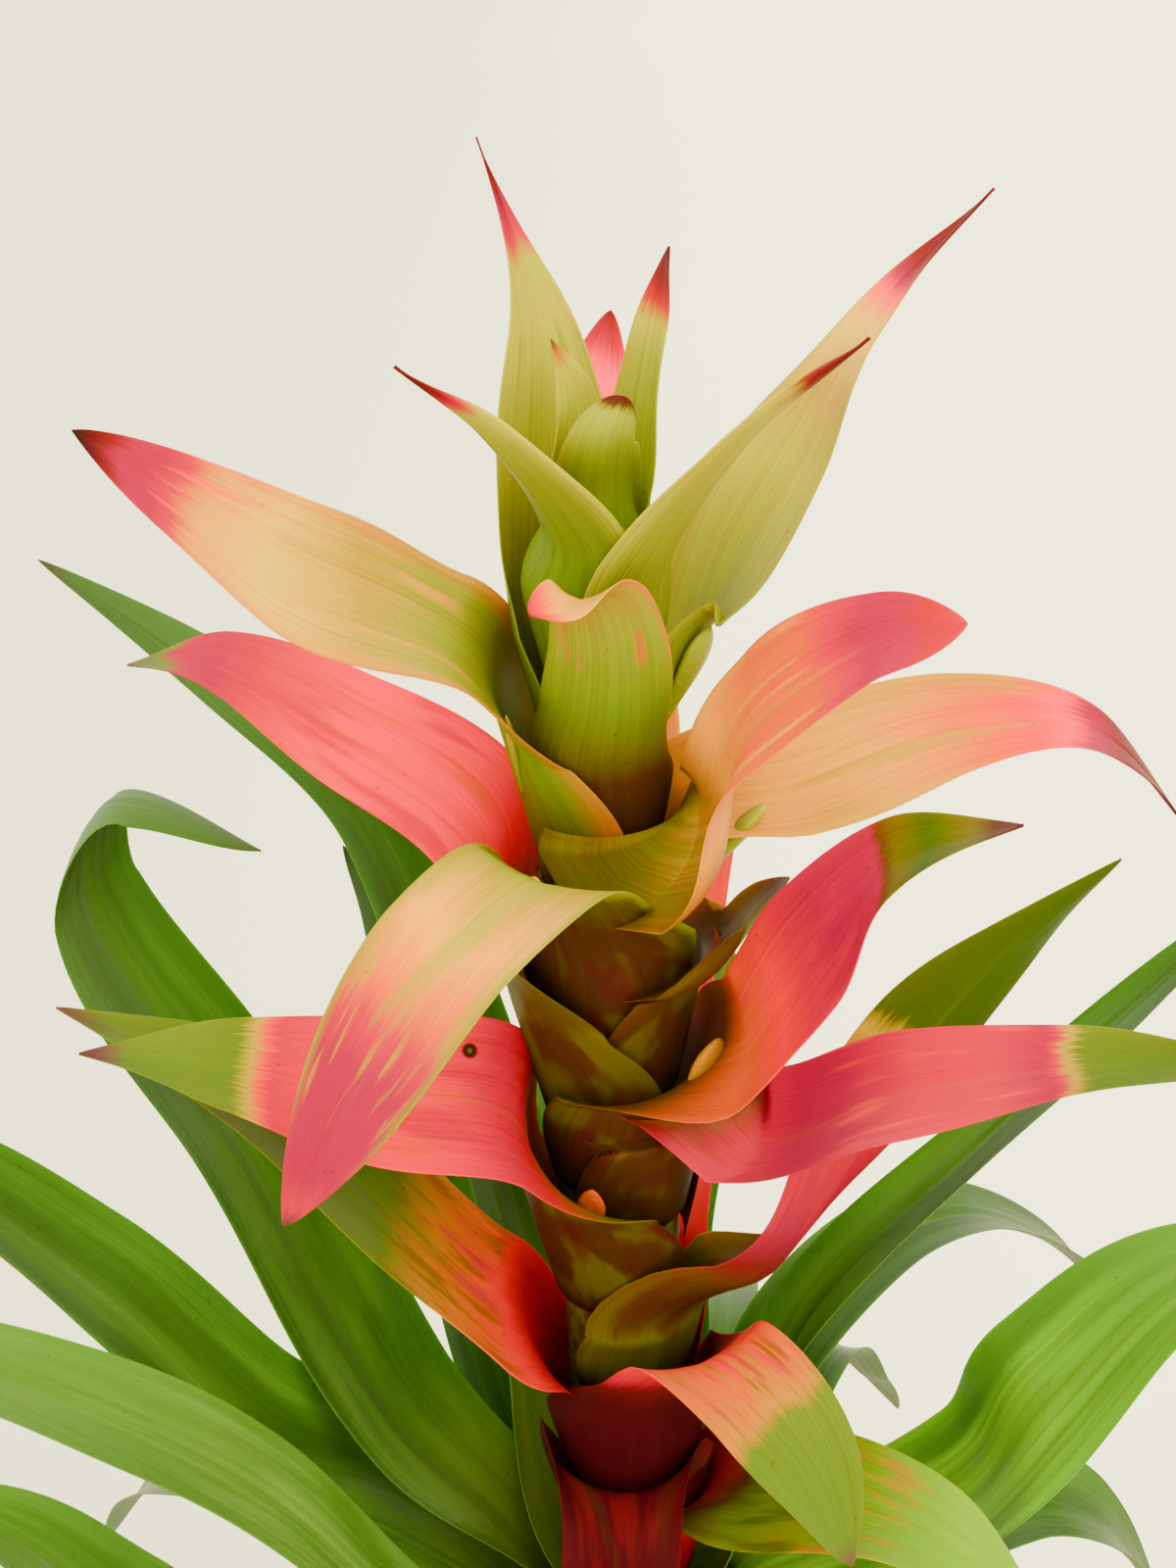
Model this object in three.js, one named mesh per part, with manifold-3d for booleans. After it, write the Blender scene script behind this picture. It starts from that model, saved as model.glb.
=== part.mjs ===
// Guzmania kokedama: a bromeliad with a tall spike of coloured bracts, rooted in a ball of soil that is
// wrapped in moss and bound with twine. Millimetres, +Z up. The flat foot of the ball rests on z = 0, the
// front of the plant faces -Y, and a turn is an angle round the stalk: 0 is the front and 90 is +X.

import * as THREE from "three";
import manifoldModule from "manifold-3d";

const wasm = await manifoldModule();
wasm.setup();
const { Manifold, Mesh: ManifoldMesh } = wasm;

const rad = THREE.MathUtils.degToRad;
const lerp = THREE.MathUtils.lerp;

// Ball of soil, moss and twine
const GAP = 0.3;
const BALL_RADIUS = 70;
const BALL_CENTRE = 61;
const BALL_LUMP = 1.2;
const BALL_ROWS = 14;
const BALL_COLUMNS = 24;
const MOSS_THICKNESS = 6;
const MOSS_MOUTH_RADIUS = 24;
const SOIL_TOP = 122;
const TWINE_RADIUS = 1.1;
const TWINE_SIDES = 4;
const TWINE_STEPS = 28;
const TWINE_RINGS = [
  { turn: 10, tilt: 50 },
  { turn: 82, tilt: 44 },
  { turn: 154, tilt: 51 },
  { turn: 226, tilt: 47 },
  { turn: 298, tilt: 38 },
];

// Stalk, which is slim at its top, and the root plug below it
const CROWN = 130;
const STALK_TOP = 492;
const STALK_LEAN = 15;
const STALK_SIDES = 12;
const STALK_GIRTHS = [
  { height: 350, radius: 12.5 },
  { height: 440, radius: 9.5 },
  { height: STALK_TOP, radius: 2.5 },
];
const PLUG_RADIUS = 8;
const PLUG_BOTTOM = 84;

// Blades: the bracts and the leaves
const BLADE = 0.8;
const BLADE_EDGE = 0.6;
const BLADE_COLUMNS = 6;
const BRACT_SHAPE = {
  flare: 0.2,
  sheath: 28,
  wrap: 110,
  clasp: 85,
  skew: 0,
  channel: 50,
  blunt: 2.5,
  tail: 0.8,
  shoulder: 10,
  opening: 18,
  rows: 7,
  roughness: 0.45,
};
const LEAF_SHAPE = {
  flare: 0.38,
  sheath: 28,
  wrap: 95,
  clasp: 50,
  skew: 0,
  channel: 60,
  blunt: 2.6,
  tail: 0.75,
  shoulder: 20,
  opening: 60,
  rows: 8,
  colour: 0x3f7a2e,
  roughness: 0.4,
};
const LEVELLING = 14;
const RIGHT_ANGLE = 90;

// Flower buds, which grow in the angles above some bracts: a flat spindle, by the share of its length and
// the share of its width at each ring
const BUD_SIDES = 6;
const BUD_FLATNESS = 0.4;
const BUD_FORM = [
  { share: 0, girth: 0.3 },
  { share: 0.4, girth: 0.8 },
  { share: 0.75, girth: 1 },
  { share: 1, girth: 0.12 },
];

// The bracts from the top down. A base is the height of its foot on the stalk, and a path runs along the
// midline from above the sheath to the tip, with the roll at each of its points.
const BRACTS = [
  { base: 476, turn: -165, width: 12, sheath: 10, clasp: 60, tail: 1, rows: 5,
    path: [[-17, 4, 499], [-17, 5, 510], [-21, 6, 519]], roll: [0, 0, 0], colour: 0xc8c832 },
  { base: 470, turn: 15, width: 15, sheath: 14, clasp: 60, channel: 80, tail: 0.5, blunt: 4, rows: 5,
    path: [[-13, -9, 498], [-12, -11, 508], [-9, -8, 514]], roll: [0, 0, 0], colour: 0xb9be3c },
  { base: 464, turn: 105, width: 16, sheath: 16, clasp: 60, rows: 6,
    path: [[-7, 4, 497], [-5, 7, 515], [-2, 10, 533]], roll: [20, 20, 10], colour: 0xd2d25a },
  { base: 459, turn: -50, width: 27, sheath: 18, clasp: 75, skew: 12, channel: 110, blunt: 1.8, tail: 1.3,
    path: [[-20, -13, 492], [-31, -22, 513], [-43, -30, 526]], roll: [0, 0, 0], colour: 0xc8cd50 },
  { base: 454, turn: 65, width: 27, sheath: 20, clasp: 75, skew: -12, channel: 110, blunt: 1.8, tail: 1.3,
    path: [[-2, -11, 488], [10, -18, 511], [26, -26, 529]], roll: [0, 0, 0], colour: 0xd7d769 },
  { base: 449, turn: -150, width: 34, sheath: 22, blunt: 1.7, tail: 1.8,
    path: [[-22, 12, 496], [-23, 16, 517], [-28, 18, 534], [-33, 20, 548]], roll: [0, 0, 0, 0],
    colour: 0xe6dc96 },
  { base: 436.5, turn: 176, width: 20, sheath: 24, wrap: 70, clasp: 36, tail: 0.7, rows: 6,
    path: [[-14, 24, 480], [-14, 31, 498], [-11, 36, 515]], roll: [0, 0, 0], colour: 0xe6be96 },
  { base: 443, turn: 97, width: 34, sheath: 16, wrap: 90, clasp: 48, skew: -25, blunt: 2.2, tail: 1.4,
    path: [[4, 11, 468], [21, 18, 495], [33, 24, 516], [53, 28, 538]], roll: [15, 22, 5, 0],
    colour: 0xebc896, bud: { turn: 62, rise: 10, tip: [6, -3, 472], width: 8 } },
  { base: 430, turn: 0, width: 23, sheath: 20, wrap: 90, clasp: 55, tail: 0.5,
    path: [[-12, -18, 463], [-12, -21, 477], [-15, -26, 487], [-24, -31, 487]], roll: [0, 0, 0, 0],
    colour: 0xd7be6e },
  { base: 423, turn: -79, width: 30, clasp: 68, skew: -5,
    path: [[-37, -18, 475], [-62, -28, 494], [-88, -40, 520]], roll: [-18, -47, -45], colour: 0xf0d7a0,
    bud: { turn: -72, rise: 12, tip: [-29, -11, 459], width: 4 } },
  { base: 405, turn: 100, width: 30, sheath: 25, clasp: 70, blunt: 1.8, tail: 1.2,
    path: [[23, 4, 437], [52, 12, 444], [80, 16, 441], [102, 18, 418]], roll: [30, 35, 25, 0],
    colour: 0xf5be82, bud: { turn: 72, rise: 14, tip: [17, -5, 438], width: 9 } },
  { base: 415.5, turn: 66, width: 33, sheath: 22, wrap: 88, clasp: 66, skew: -40, tail: 0.7,
    path: [[5.5, -10.5, 442], [12, -22, 463], [30, -29, 481], [43, -34, 487]], roll: [60, 27, 35, 50],
    colour: 0xf5a573 },
  { base: 396, turn: 172, width: 28, wrap: 80, clasp: 48, rows: 5,
    path: [[-10, 38, 430], [-12, 66, 446], [-14, 96, 450]], roll: [0, 0, 0], colour: 0xf5a573 },
  { base: 384, turn: -30, width: 30.5, clasp: 79, skew: 15,
    path: [[-23, -36.6, 441.4], [-37, -52, 437], [-51, -56, 417], [-67, -54, 383]], roll: [0, 0, 0, 0],
    colour: 0xf5a58c, bud: { turn: -58, rise: 20, tip: [-24, -14, 428], width: 8 } },
  { base: 375, turn: 80, width: 26, wrap: 90, clasp: 55, skew: -8, rows: 5,
    path: [[10, -7, 406], [16, -5, 414], [22, -3, 421]], roll: [0, 0, 0], colour: 0xaf8c3c },
  { base: 366.5, turn: -90, width: 31, clasp: 66, skew: 24,
    path: [[-35, 0, 430], [-60, 8, 446], [-81, 12, 457], [-99, 14, 456]], roll: [-35, -40, -30, 0],
    colour: 0xf08282 },
  { base: 353, turn: 65, width: 31, clasp: 78, skew: -20,
    path: [[15, -20, 398], [25, -30, 424.5], [35, -36, 445], [53, -44, 457]], roll: [40, 45, 30, 0],
    colour: 0xeb506e, bud: { turn: 50, rise: 18, tip: [9, -15, 393], width: 9 } },
  { base: 343.2, turn: 75, width: 31, clasp: 80,
    path: [[18, -16, 369], [42, -24, 387], [71, -28, 396], [103, -34, 402]], roll: [10, 10, 5, 0],
    colour: 0xf06e6e },
  { base: 332.5, turn: 155, width: 28, wrap: 80, clasp: 48, rows: 5,
    path: [[0, 38, 372], [10, 66, 392], [22, 96, 396]], roll: [0, 0, 0], colour: 0xf06e6e },
  { base: 321, turn: -50, width: 35, clasp: 75, shoulder: 22,
    path: [[-30, -20, 379], [-54, -30, 392], [-78, -34, 401], [-103, -36, 406]], roll: [-40, -45, -30, 0],
    colour: 0xf07878, bud: { turn: -22, rise: 20, tip: [-14, -18, 359], width: 6 } },
  { base: 298, turn: 80, width: 32, sheath: 20, wrap: 95, clasp: 75, skew: -30, shoulder: 14,
    path: [[24, -9, 331], [54, 4, 383], [86, 8, 418]], roll: [-25, -75, -50], colour: 0xe65a5a },
  { base: 276, turn: -70, width: 37, sheath: 20, wrap: 90, clasp: 50, skew: -16, shoulder: 14,
    path: [[-36, -16, 327], [-78, -20, 384], [-111, -20, 404]], roll: [-19, -30, 0], colour: 0xd28250 },
  { base: 287, turn: 160, width: 28, wrap: 80, clasp: 48, rows: 5,
    path: [[2, 38, 322], [10, 64, 344], [18, 92, 350]], roll: [0, 0, 0], colour: 0xe65a5a },
  { base: 266, turn: 25, width: 33,
    path: [[7, -34, 329], [17, -46, 332], [27, -54, 323], [35, -59, 302]], roll: [0, 0, 0, 0],
    colour: 0xe6785a },
  { base: 255, turn: -178, width: 28, wrap: 80, clasp: 48, rows: 5,
    path: [[-9, 36, 296], [-10, 56, 318], [-11, 78, 328]], roll: [0, 0, 0], colour: 0xc83c46 },
  { base: 235.5, turn: 60, width: 32, clasp: 70, skew: -14,
    path: [[22, -24, 280], [38, -41, 297], [54, -54, 302], [74, -65, 287]], roll: [10, 15, 10, 0],
    colour: 0xa0b450 },
  { base: 246, turn: -10, width: 26, rows: 6,
    path: [[-8, -38, 278], [-10, -70, 274], [-12, -102, 250]], roll: [0, 0, 0], colour: 0xbe3c3c },
];

// The leaves, from the top down
const LEAVES = [
  { base: 220, turn: -140, width: 26,
    path: [[-30, 40, 290], [-44, 50, 345], [-62, 60, 396], [-92, 68, 424], [-134, 85, 446]],
    roll: [0, 0, -10, -20, 0] },
  { base: 215, turn: 95, width: 22, skew: 12, rows: 7,
    path: [[33, 4, 303], [64, 0, 354], [101, 10, 391], [128, 15, 416]], roll: [0, 0, 0, 0] },
  { base: 210, turn: -165, width: 34, wrap: 66, clasp: 38, rows: 6,
    path: [[-12, 50, 272], [-14, 90, 300], [-16, 140, 310], [-18, 190, 270]], roll: [0, 0, 0, 0] },
  { base: 205, turn: -95, width: 36, wrap: 78, skew: 12, blunt: 5, tail: 0.9,
    path: [[-58, -4, 289], [-88, 0, 364], [-110, 4, 411], [-103, 8, 431], [-78, 14, 416]],
    roll: [-20, -20, -20, -10, 0] },
  { base: 200, turn: 50, width: 44, wrap: 85,
    path: [[43, -14, 244], [66, -22, 276], [77, -30, 316], [98, -38, 358], [122, -46, 362]],
    roll: [27, 35, 60, 65, 40] },
  { base: 195, turn: 168, width: 26, clasp: 42, rows: 7,
    path: [[3, 38, 246], [8, 72, 284], [24, 98, 294], [40, 114, 304], [46, 124, 308]],
    roll: [0, 0, 0, 0, 0] },
  { base: 190, turn: -70, width: 38, skew: -12,
    path: [[-58, -12, 264], [-79, -34, 308], [-104, -44, 360], [-135, -50, 395], [-169, -56, 387]],
    roll: [-20, -25, -25, -20, 0] },
  { base: 185, turn: 125, width: 28, skew: -5, rows: 7,
    path: [[31, 30, 265], [57, 50, 281], [82, 60, 281], [110, 65, 260], [133, 70, 216]],
    roll: [0, 0, 0, 0, 0] },
  { base: 180, turn: -130, width: 30, blunt: 4, tail: 0.8, rows: 7,
    path: [[-34, 30, 245], [-47, 46, 291], [-56, 60, 336], [-64, 70, 365], [-71, 74, 380]],
    roll: [0, 0, 0, 0, 0] },
  { base: 175, turn: -45, width: 38, skew: 11,
    path: [[-46, -50, 264], [-68, -72, 330], [-91, -92, 378], [-117, -104, 406], [-146, -110, 408]],
    roll: [-20, -25, -25, -20, 0] },
  { base: 170, turn: 140, width: 28, clasp: 45, rows: 6,
    path: [[22, 30, 214], [44, 62, 234], [61, 80, 205], [74, 90, 180]], roll: [0, 0, 0, 0] },
  { base: 165, turn: 92, width: 38, rows: 7,
    path: [[42, 6, 202], [72, 10, 227], [91, 8, 240], [107, 4, 235], [124, 0, 208]],
    roll: [0, 0, 0, 0, 0] },
  { base: 160, turn: -75, width: 38,
    path: [[-56, -22, 202], [-90, -42, 236], [-105, -56, 280], [-121, -68, 324], [-140, -76, 340]],
    roll: [-10, -20, -20, -20, -10] },
  { base: 155, turn: 12, width: 38, rows: 6,
    path: [[8, -50, 222], [14, -98, 248], [18, -148, 238], [20, -190, 190]], roll: [0, 0, 0, 0] },
  { base: 150, turn: -118, width: 38, rows: 6,
    path: [[-40, 20, 186], [-84, 40, 204], [-126, 60, 190], [-156, 76, 140]], roll: [0, 0, 0, 0] },
  { base: 145, turn: -15, width: 38, rows: 6,
    path: [[-13, -48, 200], [-26, -94, 220], [-40, -138, 202], [-50, -172, 150]], roll: [0, 0, 0, 0] },
  { base: 140, turn: 45, width: 38, rows: 6,
    path: [[36, -36, 190], [70, -70, 206], [102, -102, 186], [124, -124, 134]], roll: [0, 0, 0, 0] },
  { base: 135, turn: 170, width: 38, rows: 6,
    path: [[8, 50, 188], [16, 96, 208], [22, 140, 186], [26, 172, 132]], roll: [0, 0, 0, 0] },
];

// Each blade's whole form by the name of its piece
const BLADES = {};
BRACTS.forEach((bract, i) => {
  BLADES[`bract_${String(i + 1).padStart(2, "0")}`] = { ...BRACT_SHAPE, ...bract };
});
LEAVES.forEach((leaf, i) => {
  BLADES[`leaf_${String(i + 1).padStart(2, "0")}`] = { ...LEAF_SHAPE, ...leaf };
});

// Neighbours at the foot: the first of each pair is cut clear of the second
const CLEARINGS = [
  ["bract_24", "bract_22"],
  ["leaf_06", "leaf_05"],
  ["leaf_07", "leaf_06"],
  ["leaf_08", "leaf_05"],
  ["leaf_08", "leaf_06"],
  ["leaf_09", "leaf_08"],
  ["leaf_10", "leaf_09"],
  ["leaf_14", "leaf_13"],
  ["leaf_16", "leaf_15"],
  ["leaf_17", "leaf_16"],
  ["leaf_18", "leaf_17"],
];

function stalkRadius(z) {
  const above = STALK_GIRTHS.findIndex(({ height }) => z <= height);
  if (above === 0) {
    return STALK_GIRTHS[0].radius;
  }
  const low = STALK_GIRTHS[above - 1];
  const high = STALK_GIRTHS[above];
  return lerp(low.radius, high.radius, (z - low.height) / (high.height - low.height));
}

function axisAt(z) {
  return new THREE.Vector3(-STALK_LEAN * Math.max(z - CROWN, 0) / (STALK_TOP - CROWN), 0, z);
}

function outward(turn) {
  return new THREE.Vector3(Math.sin(rad(turn)), -Math.cos(rad(turn)), 0);
}

function geometryFrom(points, triangles) {
  const geometry = new THREE.BufferGeometry();
  geometry.setAttribute("position", new THREE.Float32BufferAttribute(points.flatMap((p) => p.toArray()), 3));
  geometry.setIndex(triangles);
  geometry.computeVertexNormals();
  return geometry;
}

// To and from the solids that are joined and cut
function solidOf(geometry) {
  const mesh = new ManifoldMesh({
    numProp: 3,
    vertProperties: new Float32Array(geometry.attributes.position.array),
    triVerts: new Uint32Array(geometry.index.array),
  });
  mesh.merge();
  return new Manifold(mesh);
}

function geometryOf(solid) {
  const mesh = solid.getMesh();
  const geometry = new THREE.BufferGeometry();
  geometry.setAttribute("position", new THREE.BufferAttribute(new Float32Array(mesh.vertProperties), 3));
  geometry.setIndex(new THREE.BufferAttribute(new Uint32Array(mesh.triVerts), 1));
  geometry.computeVertexNormals();
  return geometry;
}

// A round tube through its centres: a closed loop, or a length with flat ends
function tubeGeometry(centres, radii, sides, loop = false) {
  const count = centres.length;
  const at = (i) => (loop ? centres[(i + count) % count] : centres[THREE.MathUtils.clamp(i, 0, count - 1)]);
  const points = [];
  const triangles = [];
  let side = new THREE.Vector3(1, 0, 0);
  for (let i = 0; i < count; i += 1) {
    const along = at(i + 1).clone().sub(at(i - 1)).normalize();
    side = side.clone().addScaledVector(along, -side.dot(along)).normalize();
    const across = along.clone().cross(side);
    for (let k = 0; k < sides; k += 1) {
      const angle = 2 * Math.PI * k / sides;
      points.push(centres[i].clone()
        .addScaledVector(side, radii[i] * Math.cos(angle))
        .addScaledVector(across, radii[i] * Math.sin(angle)));
    }
  }
  for (let i = 0; i < (loop ? count : count - 1); i += 1) {
    for (let k = 0; k < sides; k += 1) {
      const here = i * sides;
      const next = ((i + 1) % count) * sides;
      const beside = (k + 1) % sides;
      triangles.push(here + k, here + beside, next + beside, here + k, next + beside, next + k);
    }
  }
  if (!loop) {
    const first = points.push(centres[0].clone()) - 1;
    const last = points.push(centres[count - 1].clone()) - 1;
    const end = (count - 1) * sides;
    for (let k = 0; k < sides; k += 1) {
      const beside = (k + 1) % sides;
      triangles.push(first, beside, k, last, end + k, end + beside);
    }
  }
  return geometryFrom(points, triangles);
}

// The ball swells a little here and there: its radius in a direction, and a closed solid that stands a
// depth below that surface, with a flat foot
function ballRadius(direction) {
  const { x, y, z } = direction;
  return BALL_RADIUS + BALL_LUMP * (Math.sin(6 * x + 1) + Math.sin(7 * y + 2) + Math.sin(5 * z)) / 3;
}

function ballSolid(depth) {
  const points = [];
  const triangles = [];
  for (let r = 1; r < BALL_ROWS; r += 1) {
    for (let c = 0; c < BALL_COLUMNS; c += 1) {
      const direction = new THREE.Vector3().setFromSphericalCoords(
        1, Math.PI * r / BALL_ROWS, 2 * Math.PI * c / BALL_COLUMNS);
      direction.set(direction.z, direction.x, direction.y);
      const point = direction.clone().multiplyScalar(ballRadius(direction) - depth);
      point.z = Math.max(point.z + BALL_CENTRE, depth);
      points.push(point);
    }
  }
  const summit = BALL_CENTRE + ballRadius({ x: 0, y: 0, z: 1 }) - depth;
  const top = points.push(new THREE.Vector3(0, 0, summit)) - 1;
  const foot = points.push(new THREE.Vector3(0, 0, depth)) - 1;
  const lastRow = (BALL_ROWS - 2) * BALL_COLUMNS;
  for (let c = 0; c < BALL_COLUMNS; c += 1) {
    const beside = (c + 1) % BALL_COLUMNS;
    triangles.push(top, c, beside, foot, lastRow + beside, lastRow + c);
    for (let r = 0; r < BALL_ROWS - 2; r += 1) {
      const high = r * BALL_COLUMNS;
      const low = high + BALL_COLUMNS;
      triangles.push(high + c, low + c, low + beside, high + c, low + beside, high + beside);
    }
  }
  return solidOf(geometryFrom(points, triangles));
}

function postSolid(radius, bottom, top, segments) {
  return Manifold.cylinder(top - bottom, radius, radius, segments).translate([0, 0, bottom]);
}

// A blade, which is a bract or a leaf. Its sheath is a cone round the stalk, so that the sheaths of its
// neighbours nest in it, and its midline then runs through the points of its path, in millimetres.
// Its width swells at the sheath, narrows in a shoulder and tapers to the tip, and its section is an arc.
function bladeForm(spec) {
  const foot = (stalkRadius(spec.base) + GAP) / Math.cos(rad(spec.wrap) / BLADE_COLUMNS) + BLADE / 2;
  const rim = foot + spec.flare * spec.sheath;
  const out = outward(spec.turn);
  const points = [
    axisAt(spec.base).addScaledVector(out, foot),
    axisAt(spec.base + spec.sheath).addScaledVector(out, rim),
    ...spec.path.map((p) => new THREE.Vector3(...p)),
  ];
  const stations = [0];
  for (let i = 1; i < points.length; i += 1) {
    stations.push(stations[i - 1] + points[i].distanceTo(points[i - 1]));
  }
  const last = points.length - 1;
  const cone = points[1].clone().sub(points[0]).divideScalar(stations[1]);
  const slopes = points.map((_, i) => {
    if (i < 2) {
      return cone.clone();
    }
    if (i === last) {
      return points[last].clone().sub(points[last - 1]).divideScalar(stations[last] - stations[last - 1]);
    }
    return points[i + 1].clone().sub(points[i - 1]).divideScalar(stations[i + 1] - stations[i - 1]);
  });
  return {
    points,
    stations,
    slopes,
    rim,
    foot,
    side: new THREE.Vector3(Math.cos(rad(spec.turn)), Math.sin(rad(spec.turn)), 0),
    inward: out.clone().negate(),
    length: stations[last],
    rolls: [0, 0, ...spec.roll],
  };
}

function segmentOf(form, along) {
  let i = 0;
  while (i < form.stations.length - 2 && along > form.stations[i + 1]) {
    i += 1;
  }
  const span = form.stations[i + 1] - form.stations[i];
  return { i, span, u: (along - form.stations[i]) / span };
}

// The point and the direction of the midline, by a cubic curve between each two points of the path
function midline(form, along) {
  const { i, span, u } = segmentOf(form, along);
  const square = u * u;
  const cube = square * u;
  const point = new THREE.Vector3()
    .addScaledVector(form.points[i], 2 * cube - 3 * square + 1)
    .addScaledVector(form.slopes[i], span * (cube - 2 * square + u))
    .addScaledVector(form.points[i + 1], 3 * square - 2 * cube)
    .addScaledVector(form.slopes[i + 1], span * (cube - square));
  const direction = new THREE.Vector3()
    .addScaledVector(form.points[i], 6 * (square - u))
    .addScaledVector(form.slopes[i], span * (3 * square - 4 * u + 1))
    .addScaledVector(form.points[i + 1], 6 * (u - square))
    .addScaledVector(form.slopes[i + 1], span * (3 * square - 2 * u))
    .normalize();
  const ease = square * (3 - 2 * u);
  return { point, direction, roll: lerp(form.rolls[i], form.rolls[i + 1], ease) };
}

// Half of the section's arc length and half of its angle at a distance along the midline
function section(spec, form, along) {
  const sheathLength = form.stations[1];
  const wrapFoot = rad(spec.wrap);
  const wrapRim = rad(spec.clasp);
  if (along <= sheathLength) {
    const up = along / sheathLength;
    const angle = lerp(wrapFoot, wrapRim, up * up);
    return { half: lerp(form.foot, form.rim, up) * angle, angle, shift: rad(spec.skew) };
  }
  const beyond = along - sheathLength;
  const share = beyond / (form.length - sheathLength);
  const body = (1 - share ** spec.blunt) ** spec.tail;
  const shoulder = (form.rim * wrapRim - spec.width / 2) * Math.exp(-((beyond / spec.shoulder) ** 2));
  const channel = rad(spec.channel) / 2;
  const opening = Math.exp(-((beyond / spec.opening) ** 2));
  return {
    half: Math.max(spec.width / 2 * body + shoulder, BLADE_EDGE / 2),
    angle: lerp(channel, wrapRim, opening),
    shift: rad(spec.skew) * opening,
  };
}

// The closed blade, or one that is thicker and wider all round by a swelling
function bladeGeometry(spec, swelling = 0) {
  const form = bladeForm(spec);
  const sheathLength = form.stations[1];
  const points = [];
  const triangles = [];
  const lays = [0, sheathLength / 2];
  for (let i = 0; i <= spec.rows; i += 1) {
    lays.push(lerp(sheathLength, form.length, i / spec.rows));
  }
  const wide = BLADE_COLUMNS + 1;
  for (const along of lays) {
    const { point, direction, roll } = midline(form, along);
    const { half, angle, shift } = section(spec, form, along);
    const level = Math.exp(-((Math.max(along - sheathLength, 0) / LEVELLING) ** 2));
    const across = form.side.clone().addScaledVector(direction, -form.side.dot(direction)).normalize();
    const up = direction.clone().cross(across).lerp(form.inward, level).normalize();
    const side = across.clone().applyAxisAngle(direction, rad(roll));
    const face = up.clone().applyAxisAngle(direction, rad(roll));
    const radius = half / angle;
    const reach = angle * (1 + swelling / half);
    const thin = lerp(BLADE, BLADE_EDGE, along / form.length) / 2 + swelling;
    for (const skin of [1, -1]) {
      for (let k = 0; k < wide; k += 1) {
        const turn = reach * (2 * k / BLADE_COLUMNS - 1) + shift;
        points.push(point.clone()
          .addScaledVector(side, (radius - skin * thin) * Math.sin(turn))
          .addScaledVector(face, radius - (radius - skin * thin) * Math.cos(turn)));
      }
    }
  }
  const ring = 2 * wide;
  const quad = (a, b, c, d) => triangles.push(a, b, c, a, c, d);
  for (let r = 0; r < lays.length - 1; r += 1) {
    const low = r * ring;
    const high = low + ring;
    for (let k = 0; k < BLADE_COLUMNS; k += 1) {
      quad(low + k, high + k, high + k + 1, low + k + 1);
      quad(low + wide + k, low + wide + k + 1, high + wide + k + 1, high + wide + k);
    }
    quad(low, low + wide, high + wide, high);
    quad(low + wide + BLADE_COLUMNS, low + BLADE_COLUMNS, high + BLADE_COLUMNS, high + wide + BLADE_COLUMNS);
  }
  const end = (lays.length - 1) * ring;
  for (let k = 0; k < BLADE_COLUMNS; k += 1) {
    quad(k, k + 1, wide + k + 1, wide + k);
    quad(end + k, end + wide + k, end + wide + k + 1, end + k + 1);
  }
  return geometryFrom(points, triangles);
}

// The stalk and its root plug, which stands in the hole of the soil
function stalkGeometry() {
  const plug = postSolid(PLUG_RADIUS, PLUG_BOTTOM, SOIL_TOP + 1, STALK_SIDES);
  const levels = [SOIL_TOP + GAP, CROWN, ...STALK_GIRTHS.map(({ height }) => height)];
  const stalk = solidOf(tubeGeometry(levels.map(axisAt), levels.map(stalkRadius), STALK_SIDES));
  return geometryOf(Manifold.union([plug, stalk]));
}

// A bud stands in its bract's sheath, with its root sunk in the blade
function budSolid(spec) {
  const { turn, rise, tip, width } = spec.bud;
  const out = outward(turn);
  const foot = axisAt(spec.base + rise).addScaledVector(out, bladeForm(spec).foot + spec.flare * rise);
  const direction = new THREE.Vector3(...tip).sub(foot);
  const length = direction.length();
  direction.normalize();
  const side = direction.clone().cross(out).normalize();
  const centres = BUD_FORM.map(({ share }) => new THREE.Vector3(0, 0, share * length));
  const spindle = tubeGeometry(centres, BUD_FORM.map(({ girth }) => girth * width / 2), BUD_SIDES);
  spindle.scale(1, BUD_FLATNESS, 1);
  const through = direction.clone().cross(side);
  const placed = new THREE.Matrix4().makeBasis(side, through, direction).setPosition(foot);
  return solidOf(spindle.applyMatrix4(placed));
}

// The largest body of a solid
function mainBody(solid) {
  return solid.decompose().reduce((best, body) => (body.volume() > best.volume() ? body : best));
}

// A blade with its bud, cut clear of the neighbours whose feet it would touch
function pieceGeometry(name) {
  const spec = BLADES[name];
  const neighbours = CLEARINGS.filter(([cut]) => cut === name).map(([, other]) => BLADES[other]);
  if (!spec.bud && neighbours.length === 0) {
    return bladeGeometry(spec);
  }
  let solid = solidOf(bladeGeometry(spec));
  if (spec.bud) {
    solid = solid.add(budSolid(spec));
  }
  for (const neighbour of neighbours) {
    solid = mainBody(solid.subtract(solidOf(bladeGeometry(neighbour, GAP))));
  }
  return geometryOf(solid);
}

function soilGeometry() {
  const hole = postSolid(PLUG_RADIUS + GAP, PLUG_BOTTOM - GAP, BALL_RADIUS * 2, STALK_SIDES);
  const above = postSolid(BALL_RADIUS * 2, SOIL_TOP, BALL_RADIUS * 3, STALK_SIDES);
  return geometryOf(ballSolid(MOSS_THICKNESS + GAP).subtract(hole).subtract(above));
}

function mossGeometry() {
  const mouth = postSolid(MOSS_MOUTH_RADIUS, BALL_CENTRE, BALL_RADIUS * 2, BALL_COLUMNS);
  return geometryOf(ballSolid(0).subtract(ballSolid(MOSS_THICKNESS)).subtract(mouth));
}

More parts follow.
